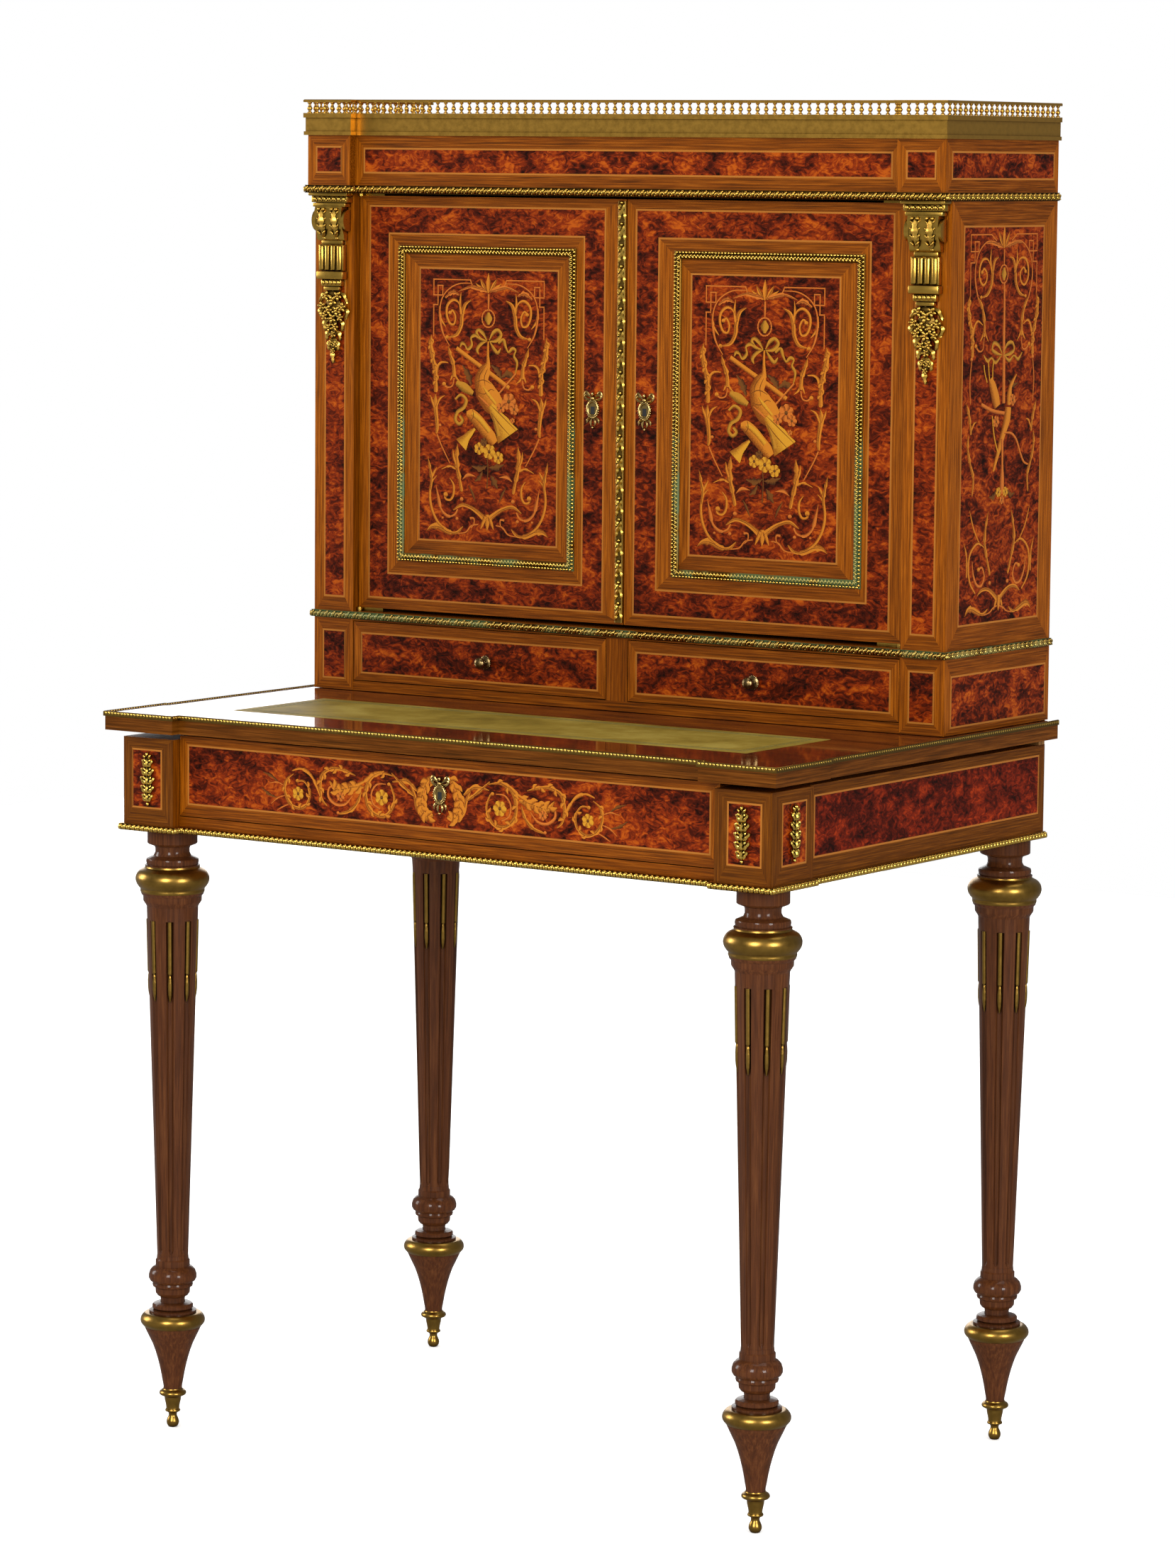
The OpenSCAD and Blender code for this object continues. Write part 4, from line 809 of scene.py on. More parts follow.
SIDE_MIDDLE = 164
SIDE_KEYS = [
    [(180, 1261), (190, 1267), (231, 1267), (231, 1250), (215, 1250), (215, 1260),
     (223, 1260), (223, 1239), (231, 1239), (231, 1206)],
]
SIDE_SCROLLS = [
    ("satin", (1.5, 4.5, 0.5), 0, [(166, 1254), (171, 1262), (175, 1270)]),
    ("pear", (2, 6, 4, 0.6), 3, [(166, 1254), (178, 1257), (190, 1259), (202, 1258)]),
    ("satin", (1.2, 4.6, 5, 4.4, 1), 0,
     [(175, 1244), (183, 1241), (187, 1230), (189, 1217), (197, 1207), (209, 1204)]),
    ("satin", (4, 3, 0.6), 0, [(187, 1228), (191, 1240), (190, 1252)]),
    ("satin", (1.2, 3.4, 3, 2.4, 2.6), 0,
     [(190, 1234), (197, 1242), (207, 1242), (213, 1234), (213, 1223), (206, 1216),
      (199, 1220), (198, 1228), (204, 1233), (208, 1229)]),
    ("pear", (1, 1.6, 1.6, 2.6, 1), 0,
     [(182, 1260), (198, 1260), (212, 1252), (220, 1240), (222, 1224), (217, 1207),
      (210, 1195)]),
    ("satin", (0.8, 5, 6, 5, 4.5), 3,
     [(214, 1204), (206, 1192), (202, 1178), (202, 1164)]),
    ("satin", (2, 2.4, 0.6), 0, [(201, 1170), (198, 1165), (193, 1159)]),
    ("satin", (2, 2.6, 0.6), 0, [(203, 1170), (206, 1164), (210, 1160)]),
    ("pear", (1.5, 1.8, 2.6), 0, [(202, 1163), (204, 1152), (211, 1150), (218, 1155)]),
    ("satin", (1.2, 7, 6.5, 6, 6.5, 5), 5,
     [(97, 1207), (94, 1195), (97, 1181), (102, 1167), (103, 1156), (103, 1144)]),
    ("satin", (4, 3, 1.2), 0, [(104, 1166), (108, 1176), (114, 1180), (123, 1176)]),
    ("pear", (1.6, 2, 1.4), 0, [(102, 1140), (99, 1119), (101, 1097)]),
    ("satin", (1, 6, 5, 3), 3, [(93, 1098), (98, 1087), (101, 1077), (103, 1066)]),
    ("satin", (0.5, 2.8, 2), 0, [(114, 1079), (108, 1077), (103, 1069)]),
    ("satin", (2, 5, 5, 5, 2), 4,
     [(98, 1066), (97, 1053), (102, 1037), (109, 1022), (107, 1004)]),
    ("satin", (1, 5, 6, 5, 3.5), 4,
     [(141, 988), (136, 972), (134, 956), (139, 940), (146, 922)]),
    ("satin", (0.6, 2.4, 2, 1.2), 0, [(103, 990), (112, 970), (126, 953)]),
    ("satin", (0.8, 3.4, 3.4, 2), 3,
     [(93, 957), (98, 944), (99, 932), (99, 922)]),
    ("satin", (1, 3, 3.4, 3.2, 2), 0,
     [(134, 951), (120, 956), (106, 947), (102, 932), (106, 916), (117, 905)]),
    ("pear", (1, 3.4, 3, 2.4, 2.6), 0,
     [(110, 938), (112, 925), (119, 914), (129, 912), (135, 921), (130, 931),
      (123, 929)]),
    ("satin", (6, 5, 4, 4, 1.2), 0,
     [(163, 896), (153, 903), (142, 908), (130, 908), (121, 903)]),
    ("satin", (0.8, 5, 8, 5, 4, 1), 3,
     [(97, 883), (103, 889), (112, 889), (123, 885), (134, 883), (143, 888)]),
    ("pear", (1.2, 2, 1.4), 0, [(136, 882), (147, 884), (154, 888), (162, 890)]),
    ("satin", (4, 4, 0.8), 0, [(162, 900), (158, 893), (155, 886)]),
]
SIDE_DOTS = [
    ("pear", 2.3, (102, 1142)), ("satin", 2.2, (208, 1229)), ("satin", 2.4, (218, 1155)),
    ("pear", 2.3, (146, 914)), ("satin", 2.4, (123, 929)), ("satin", 2, (209, 1204)),
]
SIDE_EMBLEM = [
    ("satin", (2, 6, 0.5), 0, [(164, 1253), (164, 1264), (164, 1276)]),
    ("pear", (2, 2.4, 1.6), 0, [(164, 1252), (164, 1244), (164, 1236)]),
    ("pear", (3, 4, 5, 6), 0, [(165, 1218), (166, 1190), (166, 1165), (168, 1096)]),
    ("sash", (1.3, 4.2, 3.1, 4.2, 1.3), 0,
     [(163, 1147), (156, 1155), (146, 1158), (143, 1151), (152, 1147), (163, 1145)]),
    ("sash", (1.3, 4.2, 3.1, 4.2, 1.3), 0,
     [(166, 1147), (174, 1156), (184, 1157), (187, 1150), (177, 1146), (166, 1145)]),
    ("sash", (2.1, 3.9, 2.1, 3.9, 1.3), 0,
     [(160, 1144), (150, 1138), (142, 1143), (134, 1140), (126, 1146)]),
    ("sash", (2.1, 3.9, 2.1, 3.9, 1.3), 0,
     [(168, 1144), (178, 1139), (187, 1144), (196, 1140), (204, 1147)]),
    ("leafwood", (1, 7, 1), 3, [(176, 1120), (186, 1114), (196, 1116)]),
    ("satin", (8, 13, 15, 12), 0, [(140, 1121), (146, 1112), (151, 1102), (155, 1093)]),
    ("holly", (1.5, 1.5), 0, [(134, 1118), (129, 1128), (127, 1136)]),
    ("holly", (1.5, 1.5), 0, [(139, 1120), (137, 1130), (136, 1139)]),
    ("holly", (1.5, 1.5), 0, [(145, 1121), (145, 1131), (146, 1139)]),
    ("pear", (4, 4), 0, [(123, 1096), (146, 1089), (176, 1085)]),
    ("satin", (2, 6, 9, 7), 0, [(193, 1125), (182, 1114), (179, 1104), (178, 1094)]),
    ("satin", (12, 13, 9, 4), 0, [(177, 1092), (175, 1080), (166, 1062), (149, 1028)]),
    ("pear", (2, 3, 3, 2), 0,
     [(170, 1066), (184, 1065), (195, 1058), (203, 1045), (211, 1035), (220, 1032)]),
    ("holly", (1.6, 2, 1.6), 0, [(145, 1084), (150, 1062), (159, 1044)]),
    ("pear", (5, 4, 8, 9), 0, [(166, 1060), (167, 1036), (167, 1018), (167, 1004)]),
    ("satin", (5, 6, 1), 0, [(164, 901), (164, 893), (164, 885)]),
    ("leafwood", (1, 7, 1), 3, [(158, 1010), (150, 1002), (141, 1002)]),
    ("leafwood", (1, 7, 1), 3, [(176, 1010), (184, 1002), (193, 1004)]),
]
SIDE_FLOWERS = [
    ("pear", 6, (186, 1099)), ("pear", 6, (153, 1078)), ("holly", 5, (160, 1006)),
    ("holly", 5, (174, 1006)), ("pear", 4.5, (167, 998)),
]

DRAWER_SCROLLS = [
    ("satin", (3, 11, 12, 11, 4), 7,
     [(10, 724), (18, 715), (23, 702), (23, 691), (17, 682), (9, 684)]),
    ("pear", (0.8, 1.4, 1.2, 0.8), 0, [(11, 720), (19, 708), (20, 695), (13, 686)]),
    ("satin", (1, 4, 4.5, 3), 0, [(38, 714), (32, 702), (29, 690), (22, 680)]),
    ("satin", (3, 6, 1), 3, [(29, 707), (42, 716), (60, 714)]),
    ("satin", (3, 5, 1), 3, [(33, 702), (46, 711), (61, 723)]),
    ("satin", (2, 4.5, 5, 5, 5, 4, 1.6), 6,
     [(59, 720), (75, 722), (88, 714), (93, 701), (90, 687), (80, 679), (68, 679),
      (60, 687), (57, 698), (62, 711)]),
    ("pear", (1, 2.2, 2, 1.4), 0, [(68, 711), (79, 710), (86, 701), (84, 690), (75, 685)]),
    ("satin", (1.5, 4, 4, 3), 3, [(70, 724), (84, 720), (95, 712), (106, 707)]),
    ("satin", (3, 10, 11, 8, 1), 5, [(96, 706), (108, 705), (120, 702), (131, 701),
                                     (139, 709)]),
    ("satin", (2, 4.5, 5, 1), 3, [(99, 701), (104, 689), (114, 680), (129, 676)]),
    ("pear", (1, 3, 3.4, 2.6, 1), 0,
     [(110, 696), (119, 687), (131, 686), (140, 693), (139, 702), (133, 703)]),
    ("satin", (1.5, 4.5, 5, 5, 4, 1.2), 5,
     [(106, 717), (120, 721), (134, 722), (147, 716), (151, 703), (149, 690),
      (142, 683)]),
    ("satin", (1, 3.4, 4, 3, 1), 3,
     [(149, 688), (156, 704), (165, 715), (176, 719), (187, 716)]),
    ("satin", (1.5, 4, 4.4, 4, 3, 1.4), 5,
     [(185, 713), (194, 706), (196, 694), (189, 682), (177, 678), (167, 684),
      (164, 696), (171, 706), (180, 706)]),
    ("pear", (1, 2, 0.5), 3, [(197, 700), (206, 703), (217, 701)]),
    ("pear", (1, 2, 0.5), 3, [(196, 690), (205, 687), (214, 680)]),
    ("pear", (1, 1.6, 0.5), 0, [(190, 682), (199, 678), (206, 674)]),
    ("leafwood", (0.6, 3.6, 0.6), 3, [(204, 703), (214, 709), (224, 712)]),
    ("leafwood", (0.6, 3.6, 0.6), 3, [(206, 687), (217, 690), (226, 696)]),
]
DRAWER_DOTS = [("satin", 2, (64, 711)), ("pear", 1.8, (128, 677)), ("satin", 2, (180, 706))]
DRAWER_FLOWERS = [("holly", 8, (73, 697)), ("holly", 7, (179, 693)), ("pear", 5, (125, 694))]


def smooth_path(points, steps):
    """Points spread along an even curve through the given ones."""
    ends = [points[0], *points, points[-1]]
    path = []
    for k in range(steps + 1):
        t = k / steps * (len(points) - 1)
        i = min(int(t), len(points) - 2)
        u = t - i
        a, b, c, d = ends[i:i + 4]
        path.append(Vector([
            0.5 * (2 * b[j] + (c[j] - a[j]) * u
                   + (2 * a[j] - 5 * b[j] + 4 * c[j] - d[j]) * u * u
                   + (3 * b[j] - a[j] - 3 * c[j] + d[j]) * u ** 3)
            for j in range(len(b))]))
    return path


def between(values, t):
    """A value eased along an even row of values."""
    place = t * (len(values) - 1)
    i = min(int(place), len(values) - 2)
    u = place - i
    ease = u * u * (3 - 2 * u)
    return values[i] * (1 - ease) + values[i + 1] * ease


strip_blanks = {}

# Heights of the inlays in small steps, so that no two that overlap lie in one plane
INLAY_LIFT = 0.1
SCROLL_STEP = 0.006
TWIN_STEP = 0.0027
VEIN_LIFT = 0.04
SPRIG_LIFT = 0.02
SPRIG_STEP = 0.0053
CORNER_STEP = 0.015
DOT_LIFT = 0.06
EMBLEM_STEP = 0.012
FLOWER_LIFT = 0.05
FLOWER_STEP = 0.035
PETAL_STEP = 0.01
EYE_LIFT = 0.05
INLAY_THICKNESS = 0.3

# Widths of the key pattern's line and of a vein
KEY_LINE = 1.5
VEIN = (0.3, 0.75, 0.3)

# Spans of a stroke to each lobe or point, the swell of its lobes, and half its least width
SPANS = 5
SWELL = 0.62
HAIRLINE = 0.12

# Only strokes wider than this are veined, and only those with as many lobes have sprigs
VEINED_WIDTH = 4
LEAFY_LOBES = 5


def strip_blank(steps):
    """A straight strip cut into squares, kept to be copied."""
    if steps not in strip_blanks:
        bpy.ops.mesh.primitive_grid_add(x_subdivisions=steps, y_subdivisions=1, size=1)
        strip_blanks[steps] = bpy.context.object
    return duplicate(strip_blanks[steps])


def cut_stroke(wood, widths, lobes, points, lift):
    """One piece of inlay, bent along its line and given its widths."""
    steps = max(SPANS * lobes, SPANS * (len(points) - 1), 8)
    stroke = strip_blank(steps)
    path = smooth_path(points, steps)
    for k, here in enumerate(path):
        t = k / steps
        ahead = path[min(k + 1, steps)] - path[max(k - 1, 0)]
        half = between(widths, t) / 2
        if lobes:
            half *= SWELL + SWELL * (lobes * t % 1)
        out = Vector((-ahead.y, ahead.x)).normalized() * max(half, HAIRLINE)
        for row, sign in ((0, -1), (1, 1)):
            co = stroke.data.vertices[row * (steps + 1) + k].co
            co.x = here.x + sign * out.x
            co.y = here.y + sign * out.y
            co.z = lift
    return give(stroke, wood)


def cut_sprigs(wood, count, points, lift, size):
    """Small curled leaves that spring from both edges of a stem."""
    path = smooth_path(points, 2 * count)
    sprigs = []
    for k in range(1, 2 * count - 1):
        ahead = (path[k + 1] - path[k]).normalized()
        side = Vector((-ahead.y, ahead.x)) * (1 if k % 2 else -1)
        root = path[k]
        curl = [root, root + (ahead * 1.4 + side * 2.6) * size,
                root + (ahead * 4.4 + side * 3.8) * size]
        sprigs.append(cut_stroke(wood, (1.8 * size, 3.6 * size, 1), 0, curl,
                                 lift + SPRIG_STEP * k))
    return sprigs


def cut_line(points, width, lift):
    """A thin line of light wood with square corners."""
    parts = []
    for i, (a, b) in enumerate(zip(points, points[1:])):
        start, end = Vector(a), Vector(b)
        along = (end - start).normalized() * width / 2
        parts.append(cut_stroke("pear", (width, width), 0, [start - along, end + along],
                                lift + CORNER_STEP * (i % 2)))
    return parts


def cut_dot(wood, radius, centre, lift):
    """A round of inlay."""
    bpy.ops.mesh.primitive_circle_add(vertices=12, radius=radius, fill_type="NGON",
                                      location=(*centre, lift))
    bpy.ops.object.transform_apply(location=True)
    return give(bpy.context.object, wood)


def cut_flower(wood, radius, centre, lift):
    """Six rounded petals about a darker eye."""
    parts = []
    turn = chance.random()
    middle = Vector(centre)
    for k in range(6):
        angle = math.tau * k / 6 + turn
        out = Vector((math.cos(angle), math.sin(angle)))
        petal = [middle + out * radius * r for r in (0.12, 0.6, 1)]
        parts.append(cut_stroke(wood, (0.25 * radius, 0.95 * radius, 0.5 * radius), 0,
                                petal, lift + PETAL_STEP * (k % 3)))
    parts.append(cut_dot("leafwood", radius * 0.24, centre, lift + EYE_LIFT))
    return parts


def cut_medallion(centre, lift):
    """A rope ring about a round of light wood."""
    x, y = centre
    ring = [(x + 8 * math.sin(a), y + 9 * math.cos(a))
            for a in [math.tau * k / 16 for k in range(17)]]
    disc = [(x, y + 6.5), (x, y), (x, y - 6.5)]
    return [cut_stroke("pear", (2, 2), 20, ring, lift),
            cut_stroke("sash", (3, 10, 3), 0, disc, lift)]


def mirrored_points(points, middle):
    return [(2 * middle - x, y) for x, y in points]


def marquetry(name, place, middle, scrolls, dots, emblem=(), keys=(), flowers=(),
              medallion=None, twin_flowers=False, leaf_size=0.9):
    """Cuts a whole picture, its scrolls on both sides of the middle, and lays it flat."""
    parts = []
    for points in keys:
        for line in (points, mirrored_points(points, middle)):
            parts += cut_line(line, KEY_LINE, INLAY_LIFT)
    for i, (wood, widths, lobes, points) in enumerate(scrolls):
        for twin, line in enumerate((points, mirrored_points(points, middle))):
            lift = INLAY_LIFT + SCROLL_STEP * (i % 8) + TWIN_STEP * twin
            parts.append(cut_stroke(wood, widths, lobes, line, lift))
            if max(widths) > VEINED_WIDTH:
                parts.append(cut_stroke("seam", VEIN, 0, line, lift + VEIN_LIFT))
            if lobes >= LEAFY_LOBES:
                parts += cut_sprigs(wood, lobes, line, lift + SPRIG_LIFT,
                                    min(leaf_size, max(widths) / 4.6))
    for wood, radius, centre in dots:
        for at in (centre, *mirrored_points([centre], middle)):
            parts.append(cut_dot(wood, radius, at, INLAY_LIFT + DOT_LIFT))
    for i, (wood, widths, lobes, points) in enumerate(emblem):
        parts.append(cut_stroke(wood, widths, lobes, points,
                                INLAY_LIFT + EMBLEM_STEP * i))
    top = INLAY_LIFT + EMBLEM_STEP * len(emblem) + FLOWER_LIFT
    for i, (wood, radius, centre) in enumerate(flowers):
        twins = mirrored_points([centre], middle) if twin_flowers else []
        for at in (centre, *twins):
            parts += cut_flower(wood, radius, at, top + FLOWER_STEP * i)
    if medallion:
        parts += cut_medallion(medallion, INLAY_LIFT)
    return lay(join(parts, name), INLAY_THICKNESS, place)


# The left door's picture is the right door's, moved; places of the medallions
DOOR_SHIFT = -346.7
DOOR_MEDALLION = (172.4, 1170)
SIDE_MEDALLION = (164, 1227)


def lay_marquetry():
    for body, place in (("right_door", facing_front(DOOR_Y)),
                        ("left_door", facing_front(DOOR_Y) @ move(DOOR_SHIFT))):
        dress(marquetry(body + "_marquetry", place, DOOR_MIDDLE, DOOR_SCROLLS, DOOR_DOTS,
                        DOOR_EMBLEM, DOOR_KEYS, DOOR_FLOWERS, DOOR_MEDALLION),
              body, "burr")
    for side, place in (("right", facing_right(SIDE_X)),
                        ("left", facing_left(SIDE_X) @ move(-2 * SIDE_MIDDLE))):
        dress(marquetry(side + "_side_marquetry", place, SIDE_MIDDLE, SIDE_SCROLLS,
                        SIDE_DOTS, SIDE_EMBLEM, SIDE_KEYS, SIDE_FLOWERS, SIDE_MEDALLION),
              "carcase", "burr")
    dress(marquetry("drawer_marquetry", facing_front(WIDE_Y), 0, DRAWER_SCROLLS,
                    DRAWER_DOTS, flowers=DRAWER_FLOWERS, twin_flowers=True,
                    leaf_size=1.6),
          "frieze_drawer", "burr")
    for blank in strip_blanks.values():
        discard(blank)


# Cast and chased brass. Each ornament is modelled once, with x along its run, y up its
# face and z out from it, and is copied along the run

# Half width, front, block width and step back, then the step in its side and where
DESK_PLAN = (BLOCK_X, BLOCK_Y, 65, 11, 5, BLOCK_BACK_Y)
TOP_PLAN = (414, -281.75, 92, 11, 3, -179.75)
FRIEZE_PLAN = (SIDE_X, FRIEZE_BLOCK_Y, 56, 10, 0, 0)
CABINET_PLAN = (SIDE_X, STILE_Y, 0, 0, 0, 0)

# Corners of a profile that lie closer than this are one
SAME_POINT = 0.001


def edge_line(plan, out):
    """Corners of the line round the sides and the front, at a distance from the wall."""
    half_width, front, block, step, side_step, side_y = plan
    half = [(half_width - side_step + out, BACK_Y)]
    if side_step:
        half += [(half_width - side_step + out, side_y + out),
                 (half_width + out, side_y + out)]
    half.append((half_width + out, front - out))
    if step:
        half += [(half_width - block - out, front - out),
                 (half_width - block - out, front + step - out)]
    return half + [(-x, y) for x, y in reversed(half)]


def sweep(line_at, profile, closed=True):
    """Runs a profile of (out, up) along a line, mitred at the corners."""
    turns = len(line_at(0))
    rows = profile + profile[:1] if closed else profile
    bpy.ops.mesh.primitive_grid_add(x_subdivisions=turns - 1, y_subdivisions=len(rows) - 1,
                                    size=1)
    run = bpy.context.object
    for j, (out, up) in enumerate(rows):
        for i, (x, y) in enumerate(line_at(out)):
            run.data.vertices[j * turns + i].co = (x, y, up)
    with edit_mode(run):
        bpy.ops.mesh.select_all(action="SELECT")
        bpy.ops.mesh.remove_doubles(threshold=SAME_POINT)
        bpy.ops.mesh.select_all(action="DESELECT")
    with edge_picking(), edit_mode(run):
        bpy.ops.mesh.select_non_manifold()
        bpy.ops.mesh.edge_face_add()
    return face_outwards(run)


def face_outwards(obj):
    with edit_mode(obj):
        bpy.ops.mesh.select_all(action="SELECT")
        bpy.ops.mesh.normals_make_consistent(inside=False)
    return obj


def smooth(obj, degrees=40):
    grab(obj)
    bpy.ops.object.shade_smooth_by_angle(angle=math.radians(degrees))
    return obj


def bead(x, y, rise, radius_x, radius_y=None, turn=0, height=None):
    """A round or long boss, half sunk in its ground."""
    radius_y = radius_y or radius_x
    bpy.ops.mesh.primitive_uv_sphere_add(segments=8, ring_count=5, radius=1)
    boss = bpy.context.object
    boss.data.transform(move(x, y, rise)
                        @ Matrix.Rotation(math.radians(turn), 4, "Z")
                        @ Matrix.Diagonal((radius_x, radius_y, height or radius_y, 1)))
    return boss


def lathe_work(profile, sides):
    """A turned piece: radius and height along an upright axis."""
    ring = [(math.cos(math.tau * k / sides), math.sin(math.tau * k / sides))
            for k in range(sides + 1)]
    return sweep(lambda r: [(r * u, r * v) for u, v in ring], profile, closed=False)


def turning(profile, sides=10):
    """A small turned piece, laid so that a flat drawing's upright is its axis."""
    piece = lathe_work(profile, sides)
    piece.data.transform(Matrix(((1, 0, 0, 0), (0, 0, 1, 0), (0, -1, 0, 0), (0, 0, 0, 1))))
    return piece


def box_block(x0, x1, y0, y1, z0, z1, soften=0.8):
    """A cast block with its edges eased."""
    bpy.ops.mesh.primitive_cube_add(size=1)
    block = bpy.context.object
    block.data.transform(
        move((x0 + x1) / 2, (y0 + y1) / 2, (z0 + z1) / 2)
        @ Matrix.Diagonal((x1 - x0, y1 - y0, z1 - z0, 1)))
    with edit_mode(block):
        bpy.ops.mesh.select_all(action="SELECT")
        bpy.ops.mesh.bevel(offset=soften, segments=2)
    return block


def chased_leaf(widths, points, base, crown, lobes=0, steps=8):
    """A leaf or ribbon with a raised rib, run along a line of (x, y) or (x, y, rise)."""
    steps = max(lobes * 4, steps)
    bpy.ops.mesh.primitive_grid_add(x_subdivisions=steps, y_subdivisions=2, size=1)
    leaf = bpy.context.object
    lifted = [(*p, 0) if len(p) == 2 else p for p in points]
    path = smooth_path(lifted, steps)
    for k, here in enumerate(path):
        t = k / steps
        ahead = path[min(k + 1, steps)] - path[max(k - 1, 0)]
        half = between(widths, t) / 2
        if lobes:
            half *= 0.65 + 0.5 * abs(math.sin(math.pi * lobes * t))
        out = Vector((-ahead.y, ahead.x)).normalized() * max(half, 0.1)
        for row, sign in ((0, -1), (1, 0), (2, 1)):
            rise = base + here.z + (crown * min(1, half / 1.2) if sign == 0 else 0)
            leaf.data.vertices[row * (steps + 1) + k].co = (
                here.x + sign * out.x, here.y + sign * out.y, rise)
    return modify(leaf, "SOLIDIFY", thickness=max(base, 0.6), offset=-1)


def row_between(element, start, end, pitch, up=0, plan_run=True):
    """Copies an ornament evenly from one point to another."""
    start, end = Vector(start), Vector(end)
    length = (end - start).length
    count = max(1, round(length / pitch))
    step = length / count
    row = modify(duplicate(element), "ARRAY", use_relative_offset=False,
                 use_constant_offset=True, constant_offset_displace=(step, 0, 0),
                 count=count)
    along = (end - start).normalized()
    if plan_run:
        wall = Matrix(((along.x, 0, along.y, start.x), (along.y, 0, -along.x, start.y),
                       (0, 1, 0, up), (0, 0, 0, 1)))
    else:
        wall = Matrix(((along.x, -along.y, 0, start.x), (along.y, along.x, 0, start.y),
                       (0, 0, 1, up), (0, 0, 0, 1)))
    row.data.transform(wall @ move(step / 2))
    return row


def rows_along(element, plan, at, pitch, up, degrees=80):
    """Copies an ornament along every straight of a moulding."""
    line = edge_line(plan, at)
    return [smooth(row_between(element, start, end, pitch, up), degrees)
            for end, start in zip(line, line[1:])]


def laurel_link():
    """Two slanting leaves and a berry, as on the mouldings under the frieze and doors."""
    parts = [bead(-2.7, 0.1, 0, 4, 2.3, 50, 3.2), bead(0.9, -0.5, 0, 3.5, 1.6, 56, 2.4),
             bead(3.5, 0.3, 0, 2.8, 1.3, 60, 1.9), bead(-0.4, 2.4, 1, 1.2),
             bead(3.6, -2.5, 0.8, 1)]
    return join(parts, "laurel_link")


def leaf_tip_link():
    """A broad upright leaf with a narrow one beside it, as on the foot moulding."""
    parts = [bead(-0.9, 0.1, 0, 3.4, 2.2, 76, 2.9), bead(2.1, -0.4, 0, 3.1, 1.4, 102, 2.2),
             bead(0.8, 2, 1.4, 1)]
    return join(parts, "leaf_tip_link")


def belt(name, plan, z0, height, out, link, pitch, ground):
    """A moulding with its fillets and its row of chased ornament."""
    profile = [(-0.3, z0), (out * 0.45, z0), (out * 0.52, z0 + 0.4), (out * 0.4, z0 + 0.9),
               (out * 0.45, z0 + height * 0.35), (out * 0.45, z0 + height * 0.65),
               (out * 0.4, z0 + height - 0.9), (out * 0.52, z0 + height - 0.4),
               (out * 0.45, z0 + height), (-0.3, z0 + height)]
    run = give(smooth(sweep(lambda g: edge_line(plan, g), profile)), ground)
    return join([run, *rows_along(link, plan, out * 0.55, pitch, z0 + height / 2)], name)


TOP_RIM = [(-1.5, 759.5), (-0.1, 759.5), (0, 760.2), (0, 763.9), (-0.5, 764.6), (-1.3, 764.9),
           (-2.1, 764.6), (-2.5, 763.7), (-5.6, 763.7), (-5.6, 763.4), (-1.5, 763.4)]


def make_mouldings():
    laurel = give(laurel_link(), "brass")
    aged_laurel = give(duplicate(laurel), "green_brass")
    tips = give(leaf_tip_link(), "bead_brass")
    round_bead = give(join([bead(0, 0, 0, 2.2, 2.1, 0, 2.0)], "rim_bead"), "bead_brass")
    base = belt("base_leaf_moulding", DESK_PLAN, 640, 7, 7.1, tips, 6.2, "brass")
    frieze = belt("frieze_laurel_moulding", FRIEZE_PLAN, 1300.4, 8.4, 5.6, laurel, 9.6,
                  "dark_ground")
    waist = belt("waist_laurel_moulding", CABINET_PLAN, 842, 7.6, 5.9, aged_laurel, 9.6,
                 "green_ground")
    rim = give(smooth(sweep(lambda g: edge_line(TOP_PLAN, g), TOP_RIM)), "dark_ground")
    rim = join([rim, *rows_along(round_bead, TOP_PLAN, -1.5, 4.2, 762.7)],
               "beaded_top_rim")
    for piece, body, node in (
            (base, "carcase", "base_moulding"), (frieze, "carcase", "frieze_moulding"),
            (waist, "carcase", "waist_moulding"), (rim, "writing_top", "top_rim")):
        dress(put(piece, Matrix()), body, "gilt_brass", node)
    for element in (laurel, aged_laurel, tips, round_bead):
        discard(element)


# How far the gallery's rail stands out from the frieze, and where its balusters stand
RAIL_OUT = 4
BALUSTER_Z = 1385.6
BALUSTER = [(0, 0), (2.3, 0), (2.3, 0.9), (1.2, 1.5), (1.1, 2.3), (2.4, 4.2), (2.5, 5.2),
            (1.5, 7), (1, 8.4), (1, 9.6), (2.1, 10.3), (2.1, 11.4), (0, 11.4)]


def make_gallery():
    """A pierced gallery of bottle-shaped balusters under a rounded rail."""
    rail = smooth(sweep(lambda g: edge_line(FRIEZE_PLAN, g), [
        (RAIL_OUT - 4.6, 1397), (RAIL_OUT - 0.4, 1397), (RAIL_OUT, 1397.6),
        (RAIL_OUT, 1399.2), (RAIL_OUT - 0.8, 1400), (RAIL_OUT - 4.2, 1400),
        (RAIL_OUT - 5, 1399.2), (RAIL_OUT - 5, 1397.6)]))
    one = turning(BALUSTER, 8)
    rows = rows_along(one, FRIEZE_PLAN, RAIL_OUT - 2.5, 10.3, BALUSTER_Z, 60)
    discard(one)
    piece = join([rail, *rows], "baluster_gallery")
    dress(give(put(piece, Matrix()), "gallery_brass"), "carcase", "gilt_brass", "gallery")


def rect_line(rect):
    """The line round a rectangle, drawn in by a distance."""
    def line_at(inset):
        x0, x1, z0, z1 = shrink(rect, inset)
        return [(x0, z0), (x1, z0), (x1, z1), (x0, z1), (x0, z0)]
    return line_at


FRAME_RIGHT = (61.6, 292, 907.2, 1245.8)


